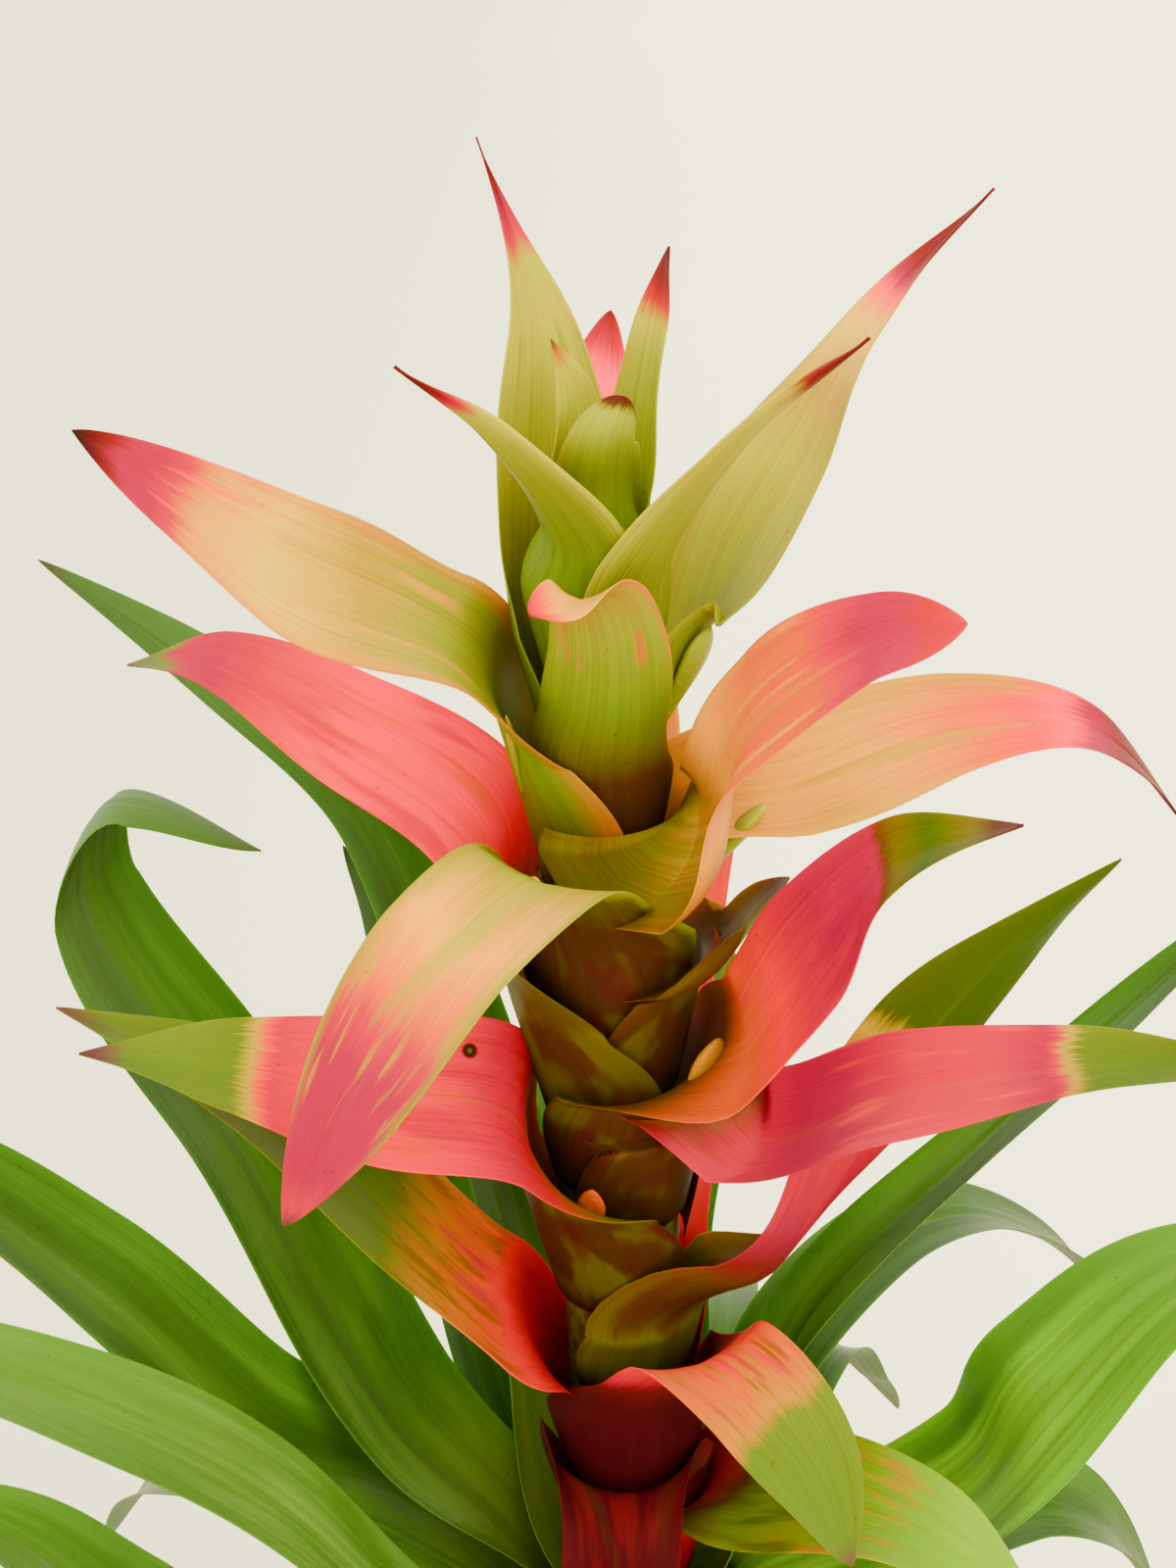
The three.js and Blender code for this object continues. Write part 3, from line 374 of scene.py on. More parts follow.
# The bracts' colours from foot to tip, by share of length, and the marks over them. A blotch is a colour,
# the share of its zone that it covers, where the zone begins and ends, and its length and width in
# millimetres. A margin is a colour, a width by share of the half blade, and a strength.
# At each bract's foot the ramp's dark colours and the low olive and maroon blotches are partly the bract's
# own colour and partly painted shade for the cups of the sheaths.
BRACT_LOOKS = {
    "bract_01": dict(
        stops={0: "lime_deep", 0.4: "lime", 0.7: "lemon", 0.88: "butter", 0.94: "orange", 1: "umber"}),
    "bract_02": dict(
        stops={0: "lime_deep", 0.5: "lime_deep", 0.8: "lime", 0.94: "lemon", 0.97: "red_brown",
               1: "maroon"}),
    "bract_03": dict(
        stops={0: "lime_deep", 0.5: "lime", 0.74: "lemon", 0.83: "butter", 0.88: "scarlet", 0.93: "crimson",
               1: "maroon"}, specks=0.9),
    "bract_04": dict(
        stops={0: "lime_deep", 0.4: "lime_deep", 0.6: "lime", 0.72: "lemon", 0.82: "butter", 0.86: "rose",
               0.91: "crimson", 1: "maroon"}, margin=("butter", 0.3, 0.7)),
    "bract_05": dict(
        stops={0: "lime_deep", 0.35: "lime", 0.55: "lemon", 0.78: "butter", 0.84: "sand", 0.87: "crimson",
               1: "maroon"}, margin=("butter", 0.3, 0.7), specks=0.7),
    "bract_06": dict(
        stops={0: "lime_deep", 0.3: "lime", 0.55: "lemon", 0.68: "butter", 0.79: "butter", 0.83: "rose",
               0.87: "magenta", 0.92: "crimson", 1: "maroon"},
        blotches=[("lime", 0.35, 0.2, 0.7, 40, 3)]),
    "bract_07": dict(
        stops={0: "olive", 0.3: "lime", 0.5: "peach", 0.85: "blush", 0.93: "rose", 1: "crimson"}),
    "bract_08": dict(
        stops={0: "olive", 0.2: "lime", 0.36: "lemon", 0.5: "butter", 0.62: "sand", 0.74: "cream",
               0.79: "pink", 0.82: "magenta", 0.86: "crimson", 1: "maroon"},
        blotches=[("honey", 0.3, 0.55, 0.8, 40, 5)], margin=("lemon", 0.2, 0.5)),
    "bract_09": dict(
        stops={0: "umber", 0.25: "red_brown", 0.36: "olive", 0.5: "lime_deep", 0.62: "lime", 0.72: "lemon",
               0.84: "sand", 0.93: "honey", 0.965: "coral", 1: "scarlet"},
        blotches=[("apricot", 0.35, 0.6, 0.9, 30, 3)], specks=0.6),
    "bract_10": dict(
        stops={0: "umber", 0.12: "olive", 0.22: "lime_deep", 0.34: "lime", 0.48: "lemon", 0.6: "sand",
               0.72: "cream", 0.81: "honey", 0.855: "rose", 0.89: "magenta", 0.93: "magenta",
               0.955: "crimson", 0.975: "maroon", 1: "speck"},
        blotches=[("honey", 0.35, 0.4, 0.85, 60, 4), ("pink", 0.3, 0.74, 0.9, 30, 3)],
        margin=("peach", 0.3, 0.4)),
    "bract_11": dict(
        stops={0: "umber", 0.18: "orange", 0.28: "honey", 0.44: "honey", 0.58: "peach", 0.66: "coral",
               0.71: "pink", 0.75: "magenta", 0.81: "crimson", 1: "maroon"},
        blotches=[("yellow", 0.5, 0.3, 0.7, 60, 4), ("coral", 0.35, 0.4, 0.74, 40, 6)]),
    "bract_12": dict(
        stops={0: "umber", 0.17: "red_brown", 0.28: "olive", 0.36: "orange", 0.44: "honey", 0.56: "peach",
               0.7: "apricot", 0.77: "rose", 0.83: "magenta", 0.9: "magenta", 0.95: "scarlet", 1: "rose"},
        blotches=[("olive", 0.45, 0.02, 0.36, 16, 6), ("coral", 0.2, 0.5, 0.8, 50, 4),
                  ("honey", 0.35, 0.4, 0.74, 60, 4)], midline=0.2, stipple=("scarlet", 0.15)),
    "bract_13": dict(
        stops={0: "olive", 0.3: "orange", 0.5: "apricot", 0.75: "peach", 0.84: "rose", 1: "crimson"},
        blotches=[("yellow", 0.35, 0.3, 0.75, 60, 4)]),
    "bract_14": dict(
        stops={0: "umber", 0.28: "red_brown", 0.38: "olive", 0.43: "lemon", 0.48: "sand", 0.56: "honey",
               0.63: "peach", 0.68: "rose", 0.74: "magenta", 0.92: "magenta", 0.97: "rose", 1: "tan"},
        blotches=[("olive", 0.4, 0.02, 0.34, 16, 6), ("maroon", 0.35, 0.02, 0.32, 22, 6),
                  ("lemon", 0.4, 0.46, 0.7, 30, 4), ("sand", 0.25, 0.64, 0.84, 26, 2.5)],
        margin=("lime", 0.15, 0.9)),
    "bract_15": dict(
        stops={0: "umber", 0.4: "red_brown", 0.6: "orange_deep", 0.8: "olive", 1: "tan"},
        blotches=[("olive", 0.5, 0.05, 0.9, 16, 6), ("maroon", 0.4, 0.05, 0.8, 22, 6)]),
    "bract_16": dict(
        stops={0: "umber", 0.2: "red_brown", 0.32: "olive", 0.4: "coral", 0.52: "pink", 0.7: "pink",
               0.82: "rose", 0.87: "magenta", 0.92: "magenta", 0.945: "grey_green", 1: "tan"},
        blotches=[("olive", 0.5, 0.02, 0.34, 16, 6), ("maroon", 0.35, 0.02, 0.32, 22, 6),
                  ("rose", 0.35, 0.4, 0.9, 30, 6), ("apricot", 0.3, 0.45, 0.85, 40, 4)]),
    "bract_17": dict(
        stops={0: "umber", 0.18: "red_brown", 0.3: "orange_deep", 0.38: "apricot", 0.5: "coral", 0.58: "rose",
               0.66: "magenta", 0.785: "magenta", 0.8: "orange_deep", 0.82: "olive", 0.87: "olive_green",
               0.93: "olive", 0.96: "red_brown", 1: "maroon"},
        blotches=[("olive", 0.45, 0.02, 0.34, 16, 6), ("maroon", 0.4, 0.02, 0.3, 22, 6),
                  ("rose", 0.35, 0.36, 0.75, 30, 6)], teeth=0.03, drift=0.03, midline=0),
    "bract_18": dict(
        stops={0: "umber", 0.18: "red_brown", 0.25: "orange_deep", 0.3: "rose", 0.38: "magenta",
               0.46: "magenta", 0.56: "rose", 0.66: "rose", 0.735: "magenta", 0.75: "rose", 0.765: "yellow",
               0.785: "grey_green", 1: "olive_green"},
        blotches=[("olive", 0.4, 0.02, 0.3, 16, 6), ("maroon", 0.4, 0.02, 0.3, 22, 6),
                  ("coral", 0.35, 0.42, 0.74, 30, 5)], teeth=0.045, drift=0.03),
    "bract_19": dict(
        stops={0: "umber", 0.2: "red_brown", 0.35: "rose", 0.6: "coral", 0.74: "magenta", 0.765: "yellow",
               0.79: "olive_green", 1: "grey_green"},
        blotches=[("peach", 0.4, 0.42, 0.74, 30, 4)], drift=0.04),
    "bract_20": dict(
        stops={0: "umber", 0.22: "red_brown", 0.31: "olive", 0.38: "scarlet", 0.46: "rose", 0.62: "pink",
               0.76: "rose", 0.775: "coral", 0.79: "yellow", 0.81: "grey_green", 0.94: "grey_green",
               0.97: "tan", 1: "red_brown"},
        blotches=[("olive", 0.5, 0.02, 0.34, 16, 6), ("maroon", 0.4, 0.02, 0.3, 22, 6),
                  ("rose", 0.4, 0.36, 0.74, 30, 7), ("apricot", 0.3, 0.38, 0.74, 30, 5)], teeth=0.045,
        drift=0.025, ring=(0.5, -0.6)),
    "bract_21": dict(
        stops={0: "umber", 0.14: "olive", 0.22: "orange_deep", 0.28: "crimson", 0.36: "magenta", 0.5: "rose",
               0.56: "magenta", 0.6: "orange", 0.63: "yellow", 0.66: "olive_green", 1: "olive_green"},
        blotches=[("olive", 0.5, 0.02, 0.26, 16, 6), ("maroon", 0.4, 0.02, 0.26, 22, 6),
                  ("rose", 0.4, 0.3, 0.6, 30, 7), ("orange", 0.2, 0.42, 0.6, 25, 4)], drift=0.04),
    "bract_22": dict(
        stops={0: "maroon", 0.12: "crimson", 0.2: "scarlet", 0.28: "coral", 0.36: "apricot", 0.46: "orange",
               0.54: "grey_green", 0.94: "grey_green", 1: "tan"},
        blotches=[("olive", 0.45, 0.28, 0.58, 20, 2.5), ("rose", 0.4, 0.28, 0.52, 30, 4)], drift=0.12),
    "bract_23": dict(
        stops={0: "maroon", 0.25: "scarlet", 0.45: "coral", 0.58: "orange", 0.64: "olive_green",
               1: "grey_green"}),
    "bract_24": dict(
        stops={0: "maroon", 0.3: "maroon", 0.4: "crimson", 0.46: "rose", 0.54: "coral", 0.64: "apricot",
               0.71: "orange", 0.735: "grey_green", 0.95: "grey_green", 1: "tan"},
        blotches=[("orange", 0.5, 0.54, 0.74, 16, 1.8), ("olive_green", 0.35, 0.56, 0.74, 14, 1.6),
                  ("rose", 0.35, 0.5, 0.72, 14, 1.8)], drift=0.03, midline=0),
    "bract_25": dict(
        stops={0: "maroon", 0.3: "scarlet", 0.5: "coral", 0.62: "olive_green", 1: "grey_green"}),
    "bract_26": dict(
        stops={0: "maroon", 0.22: "scarlet", 0.34: "red_brown", 0.42: "lime_deep", 0.55: "lime",
               0.68: "green_light", 1: "green_light"},
        blotches=[("orange", 0.4, 0.5, 0.75, 14, 2.5), ("olive_green", 0.4, 0.3, 0.6, 30, 4)]),
    "bract_27": dict(
        stops={0: "maroon", 0.3: "maroon", 0.48: "maroon", 0.55: "red_brown", 0.68: "olive_green",
               1: "grey_green"},
        blotches=[("red_brown", 0.4, 0.1, 0.6, 25, 3), ("crimson", 0.4, 0.1, 0.5, 25, 4)], midline=0),
}

BUD_LOOKS = {
    "bract_08": {0: "lime_deep", 0.5: "lime", 1: "lemon"},
    "bract_10": {0: "olive", 0.5: "lime", 1: "sand"},
    "bract_11": {0: "lime_deep", 0.5: "lemon", 1: "butter"},
    "bract_14": {0: "olive", 0.35: "sand", 1: "cream"},
    "bract_17": {0: "olive", 0.5: "orange", 1: "orange"},
    "bract_20": {0: "red_brown", 0.5: "orange_deep", 1: "apricot"},
}

# The leaves' greens, from dark to light, and the green of their outer ends
DEEP = dict(dark="leaf_deep", light="leaf", end="leaf_deep")
MIDDLE = dict(dark="leaf", light="leaf_light", end="leaf_deep")
# SHEEN is painted sheen: its pale green stands in for the light caught on the leaves' upturned faces
SHEEN = dict(dark="leaf_light", light="leaf_sheen", end="leaf_light")
PALE = dict(dark="leaf_light", light="leaf_pale", end="leaf_light")
LEAF_LOOKS = {
    "leaf_01": DEEP, "leaf_02": MIDDLE, "leaf_03": DEEP, "leaf_04": MIDDLE, "leaf_05": PALE, "leaf_06": DEEP,
    "leaf_07": MIDDLE, "leaf_08": DEEP, "leaf_09": MIDDLE, "leaf_10": SHEEN, "leaf_11": DEEP,
    "leaf_12": MIDDLE, "leaf_13": SHEEN, "leaf_14": MIDDLE, "leaf_15": DEEP, "leaf_16": MIDDLE,
    "leaf_17": DEEP, "leaf_18": DEEP,
}


def unit(vectors):
    """The vectors along the last axis, each divided by its length."""
    return vectors / np.linalg.norm(vectors, axis=-1, keepdims=True)


def smooth(edge0, edge1, x):
    """0 below the first edge, 1 above the second, and a cubic ease between them."""
    u = np.clip((x - edge0) / (edge1 - edge0), 0, 1)
    return u * u * (3 - 2 * u)


def rise_and_fall(zone, x):
    """0 at both ends of the way from 0 to 1, and 1 between the two numbers of a zone."""
    return smooth(0, zone[0], x) * (1 - smooth(zone[1], 1, x))


def axis_at(z):
    """The stalk's axis at a height: straight below the crown, and leaning evenly to the left above it."""
    z = np.asarray(z, float)
    lean = -STALK_LEAN * np.maximum(z - CROWN, 0) / (STALK_TOP - CROWN)
    return np.stack([lean, np.zeros_like(z), z], -1)


def stalk_radius(z):
    """The stalk's radius at a height, by straight tapers between its listed heights."""
    return np.interp(z, STALK_HEIGHTS, STALK_RADII)


def outward(turn):
    """The level direction that leaves the stalk at a turn from the front."""
    turn = np.radians(turn)
    return np.stack([np.sin(turn), -np.cos(turn), np.zeros_like(turn)], -1)


class Blade:
    """A bract or a leaf as a surface of two parameters, in millimetres. The first runs along the midline
    and the second across the section, from -1 at one margin to 1 at the other."""

    def __init__(self, **form):
        self.form = form
        out = outward(form["turn"])
        base, sheath = form["base"], form["sheath"]
        wrap = math.radians(form["wrap"])
        self.foot = (stalk_radius(base) + FOOT_GAP) / math.cos(wrap / FOOT_FACETS) + BLADE / 2
        self.rim = self.foot + form["flare"] * sheath
        self.points = np.array([
            axis_at(base) + out * self.foot,
            axis_at(base + sheath) + out * self.rim,
            *form["path"],
        ])
        chords = np.linalg.norm(np.diff(self.points, axis=0), axis=1)
        self.stations = np.concatenate([[0], np.cumsum(chords)])
        self.length = self.stations[-1]
        self.sheath_length = self.stations[1]
        cone = (self.points[1] - self.points[0]) / chords[0]
        across_two = (self.points[2:] - self.points[:-2]) / (self.stations[2:] - self.stations[:-2])[:, None]
        end = (self.points[-1] - self.points[-2]) / chords[-1]
        self.slopes = np.vstack([cone, cone, across_two[1:], end])
        self.rolls = np.radians([0, 0, *form.get("roll", [0] * len(form["path"]))])
        turn = math.radians(form["turn"])
        self.side = np.array([math.cos(turn), math.sin(turn), 0])
        self.inward = -out

    def midline(self, along):
        """Points, directions and rolls of the midline: a cubic Hermite curve between each two points of the
        path, whose slopes there are those of the chord past the neighbours."""
        i = np.clip(np.searchsorted(self.stations, along, "right") - 1, 0, len(self.points) - 2)
        span = (self.stations[i + 1] - self.stations[i])[:, None]
        u = (along - self.stations[i])[:, None] / span
        u2, u3 = u * u, u * u * u
        p, q, m, n = self.points[i], self.points[i + 1], self.slopes[i], self.slopes[i + 1]
        point = (p * (2 * u3 - 3 * u2 + 1) + q * (3 * u2 - 2 * u3)
                 + span * (m * (u3 - 2 * u2 + u) + n * (u3 - u2)))
        direction = unit((p - q) * 6 * (u2 - u) + span * (m * (3 * u2 - 4 * u + 1) + n * (3 * u2 - 2 * u)))
        ease = (u2 * (3 - 2 * u))[:, 0]
        roll = self.rolls[i] * (1 - ease) + self.rolls[i + 1] * ease
        return point, direction, roll

    def section(self, along):
        """Half of the section's arc, half of its angle and its shift round the stalk. In the sheath the
        section follows a cone round the stalk. Beyond it the width is that of the body, which falls to
        nothing at the tip by a power law, with a shoulder that fades from the sheath's rim."""
        f = self.form
        wrap, clasp, skew = np.radians([f["wrap"], f["clasp"], f["skew"]])
        up = np.clip(along / self.sheath_length, 0, 1)
        beyond = np.maximum(along - self.sheath_length, 0)
        share = np.clip(beyond / (self.length - self.sheath_length), 0, 1)
        body = (1 - share ** f["blunt"]) ** f["tail"]
        shoulder = (self.rim * clasp - f["width"] / 2) * np.exp(-(beyond / f["shoulder"]) ** 2)
        opening = np.exp(-(beyond / f["opening"]) ** 2)
        in_sheath = along <= self.sheath_length
        cone_angle = wrap + (clasp - wrap) * up * up
        channel = math.radians(f["channel"]) / 2
        angle = np.where(in_sheath, cone_angle, channel + (clasp - channel) * opening)
        cone_half = (self.foot + (self.rim - self.foot) * up) * cone_angle
        half = np.where(in_sheath, cone_half, f["width"] / 2 * body + shoulder)
        return np.maximum(half, TIP_HALF), angle, np.where(in_sheath, skew, skew * opening)

    def frame(self, along):
        """The midline's points with the directions across and out of the blade's face. The face turns from
        the stalk to its own way up past the rim, and both turn about the midline by the roll."""
        point, direction, roll = self.midline(along)
        level = np.exp(-(np.maximum(along - self.sheath_length, 0) / LEVELLING) ** 2)[:, None]
        across = unit(self.side - direction * (direction @ self.side)[:, None])
        up = unit(np.cross(direction, across) * (1 - level) + self.inward * level)
        cos, sin = np.cos(roll)[:, None], np.sin(roll)[:, None]

        def rolled(v):
            shadow = direction * np.sum(direction * v, -1, keepdims=True)
            return v * cos + np.cross(direction, v) * sin + shadow * (1 - cos)

        return point, rolled(across), rolled(up)

    def place(self, along, across, lift):
        """The surface at each pair of the two parameters, lifted towards the inner face: a point on an arc
        whose radius is the section's half arc over its half angle."""
        point, side, face = self.frame(along)
        half, angle, shift = self.section(along)
        radius = (half / angle)[:, None]
        theta = angle[:, None] * across + shift[:, None]
        reach = ((radius - lift) * np.sin(theta))[..., None]
        rise = (radius - (radius - lift) * np.cos(theta))[..., None]
        return point[:, None, :] + side[:, None, :] * reach + face[:, None, :] * rise


def make_object(name, vertices, faces, material, values=(), blade_map=None):
    """A smooth object at the origin, from points in millimetres and a list of face arrays, each of which
    holds faces with one number of corners. Values are pairs of a name and one number for each point."""
    corners = np.concatenate([block.ravel() for block in faces])
    counts = np.concatenate([np.full(len(block), block.shape[1]) for block in faces])
    mesh = bpy.data.meshes.new(name)
    mesh.vertices.add(len(vertices))
    mesh.vertices.foreach_set("co", (vertices * MM).ravel())
    mesh.loops.add(len(corners))
    mesh.loops.foreach_set("vertex_index", corners.astype(np.int32))
    mesh.polygons.add(len(counts))
    mesh.polygons.foreach_set("loop_start", (np.cumsum(counts) - counts).astype(np.int32))
    mesh.polygons.foreach_set("use_smooth", np.ones(len(counts), bool))
    for label, numbers in values:
        layer = mesh.attributes.new(label, "FLOAT", "POINT")
        layer.data.foreach_set("value", np.ravel(numbers).astype(np.float32))
    if blade_map is not None:
        layer = mesh.uv_layers.new(name=BLADE_MAP)
        layer.data.foreach_set("uv", blade_map[corners].astype(np.float32).ravel())
    mesh.materials.append(material)
    mesh.update(calc_edges=True)
    piece = bpy.data.objects.new(name, mesh)
    bpy.context.scene.collection.objects.link(piece)
    return piece


def ring_faces(rows, count, closed=False):
    """Quads between each ring of points and the next, on rows of count points that each close on themselves.
    With closed, the last ring also joins the first."""
    index = np.arange(rows * count).reshape(rows, count)
    upper = np.roll(index, -1, 0) if closed else index[1:]
    lower = index if closed else index[:-1]
    return np.stack([lower, np.roll(lower, -1, 1), np.roll(upper, -1, 1), upper], -1).reshape(-1, 4)


def fan_faces(ring, centre, outward_end):
    """Triangles from a ring of points to one point at its middle, turned the other way at the first end."""
    beside = np.roll(ring, -1)
    middle = np.full_like(ring, centre)
    return np.stack([ring, beside, middle] if outward_end else [beside, ring, middle], -1)


def lathe_faces(rows, count):
    """The faces of a closed surface whose rings run from one pole to the other: point 0 is the first pole
    and the last point is the other."""
    index = np.arange(1, rows * count + 1).reshape(rows, count)
    last = rows * count + 1
    return [
        ring_faces(rows, count) + 1,
        fan_faces(index[0], 0, False),
        fan_faces(index[-1], last, True),
    ]


def lumps(points, wavelength, seed, waves=24):
    """A smooth random field from about -1 to 1: the mean of plane waves of one wavelength whose directions
    and phases are drawn at random, made larger by the square root of their number."""
    draw = np.random.default_rng(seed)
    directions = unit(draw.normal(size=(waves, 3)))
    phases = draw.uniform(0, FULL_TURN, waves)
    angles = points @ directions.T * (FULL_TURN / wavelength) + phases
    return np.sin(angles).mean(-1) * math.sqrt(waves)


def relief_of(points, scales):
    """A sum of lumps, for each scale with its own wavelength, strength and seed."""
    return sum(strength * lumps(points, wavelength, seed) for wavelength, strength, seed in scales)


def blade_object(name, blade, sizes, material, seed):
    """A blade's two skins on one grid. Each row is a ring that runs over the inner face from margin to
    margin and back over the outer face, and the thickness falls to a fine margin. The midline sinks in a
    crease, low ribs run beside it, and each margin waves by a sine that grows beyond the sheath."""
    form = blade.form
    draw = np.random.default_rng(seed)
    rows = int(blade.length / sizes.row_spacing) + MIN_ROWS
    along = blade.length * (1 - (1 - np.linspace(0, 1, rows)) ** ROW_CROWDING)
    across = np.concatenate([ACROSS, ACROSS[::-1]])
    face = np.repeat([1.0, -1.0], len(ACROSS))
    share = (along / blade.length)[:, None]
    beyond = np.clip((along - blade.sheath_length) / (blade.length - blade.sheath_length), 0, 1)[:, None]

    phase = np.where(across > 0, *draw.uniform(0, FULL_TURN, 2))
    turns = FULL_TURN * form["waves"] * share + phase
    envelope = rise_and_fall(WAVE_ZONE, beyond)
    wave = form["wave"] * sizes.waviness * envelope * np.sin(turns) * np.abs(across) ** WAVE_POWER
    body = rise_and_fall(RIB_ZONE, beyond)
    crease = -form["crease"] * body * np.exp(-(across / CREASE_WIDTH) ** 2)
    ribs = form["rib"] * body * np.cos(FULL_TURN * RIBS * across) * (1 - across ** 2)
    middle = BLADE + (BLADE_EDGE - BLADE) * share
    half = middle / 2 * (MARGIN_SHARE + (1 - MARGIN_SHARE) * np.sqrt(1 - across ** 2))
    vertices = blade.place(along, across, wave + crease + ribs + face * half).reshape(-1, 3)

    count = len(across)
    ring = np.arange(len(ACROSS))
    front = np.stack([ring[:-1], ring[1:]], -1)
    strip = np.hstack([front, count - 1 - front[:, ::-1]])
    faces = [ring_faces(rows, count)[:, ::-1], strip, strip[:, ::-1] + (rows - 1) * count]
    blade_map = np.stack(np.broadcast_arrays(share, (across + 1) / 2), -1).reshape(-1, 2)
    inner = np.broadcast_to(face > 0, (rows, count))
    return make_object(name, vertices, faces, material, [("inner_face", inner)], blade_map)


def bud_object(name, blade, material):
    """A bud as a flat closed spindle from its seat in the sheath to its tip. Its girth rises by a cubic
    ease to its belly and falls by a power law to the tip, and its section is an ellipse."""
    bud = blade.form["bud"]
    out = outward(bud["turn"])
    foot = axis_at(blade.form["base"] + bud["rise"]) + out * (blade.foot + blade.form["flare"] * bud["rise"])
    reach = np.array(bud["tip"]) - foot
    length = np.linalg.norm(reach)
    direction = reach / length
    side = unit(np.cross(direction, out))
    through = np.cross(direction, side)
    share = np.linspace(0, 1, BUD_ROWS + 2)[1:-1, None]
    falling = (np.clip(share - BUD_BELLY, 0, 1) / (1 - BUD_BELLY)) ** BUD_FALL
    swelling = BUD_SEAT + (1 - BUD_SEAT) * smooth(0, BUD_BELLY, share)
    girth = bud["width"] / 2 * swelling * (1 - falling) ** BUD_BLUNTNESS
    angle = np.linspace(0, FULL_TURN, BUD_COLUMNS, endpoint=False)
    rings = (foot + direction * (share * length)[..., None]
             + side * (girth * np.cos(angle))[..., None]
             + through * (girth * BUD_FLATNESS * np.sin(angle))[..., None])
    vertices = np.vstack([foot, rings.reshape(-1, 3), foot + direction * length])
    values = np.concatenate([[0], np.repeat(share, BUD_COLUMNS), [1]])
    return make_object(name, vertices, lathe_faces(BUD_ROWS, BUD_COLUMNS), material, [("rise", values)])


def ball_radius(direction):
    """The ball's radius in a direction: its mean radius and a slow swelling of three sines."""
    x, y, z = np.moveaxis(direction, -1, 0)
    return BALL_RADIUS + BALL_LUMP * (np.sin(6 * x + 1) + np.sin(7 * y + 2) + np.sin(5 * z)) / 3


def ball_directions(polar, columns):
    """Directions from the ball's centre: each polar angle from straight down, all the way round."""
    turn = np.linspace(0, FULL_TURN, columns, endpoint=False)
    polar = polar[:, None]
    level = np.sin(polar)
    down = -np.cos(polar)
    return np.stack(np.broadcast_arrays(level * np.sin(turn), -level * np.cos(turn), down), -1)


def ball_points(directions, depth, foot=0):
    """Points at a depth below the ball's surface, which is flat at the height of its foot."""
    points = directions * (ball_radius(directions) - depth)[..., None]
    points[..., 2] = np.maximum(points[..., 2] + BALL_CENTRE, foot)
    return points


def twine_planes():
    """For each ring of twine, the two directions that span its plane and the plane's normal."""
    turns, tilts = np.array(TWINE_RINGS, float).T
    level = outward(turns + 90)
    tilts = np.radians(tilts)[:, None]
    steep = outward(turns) * np.cos(tilts) + np.array([0, 0, 1]) * np.sin(tilts)
    return level, steep, np.cross(level, steep)


def twine_press(directions):
    """How near each direction is to a ring of twine: 1 under the twine and 0 outside its dent."""
    distance = np.abs(directions @ twine_planes()[2].T).min(-1) * BALL_RADIUS
    return 1 - smooth(TWINE_RADIUS, TWINE_RADIUS + TWINE_DENT, distance)


def moss_pad_object(material):
    """The moss as a thick shell: up the outside from the foot to the mouth, over the lip, and down the
    inside. Its outside sinks in a random relief of two scales, and under the twine."""
    lip = math.asin(MOSS_MOUTH_RADIUS / BALL_RADIUS)
    outside = np.linspace(0, math.pi - lip, MOSS_ROWS)[1:]
    inside = np.linspace(math.pi - lip, 0, MOSS_INSIDE_ROWS)[1:-1]
    directions = ball_directions(np.concatenate([outside, inside]), MOSS_COLUMNS)
    clumps = MOSS_CLUMPS * (1 - relief_of(directions * BALL_RADIUS, CLUMP_WAVES) / 2)
    depth = np.clip(clumps, 0, DEEPEST_CLUMP) + TWINE_SINK * twine_press(directions)
    depth[len(outside):] = MOSS_THICKNESS
    foot = np.where(np.arange(len(depth)) < len(outside), 0, MOSS_THICKNESS)[:, None]
    rings = ball_points(directions, depth, foot)
    vertices = np.vstack([[0, 0, 0], rings.reshape(-1, 3), [0, 0, MOSS_THICKNESS]])
    return make_object("moss_pad", vertices, lathe_faces(len(rings), MOSS_COLUMNS), material)


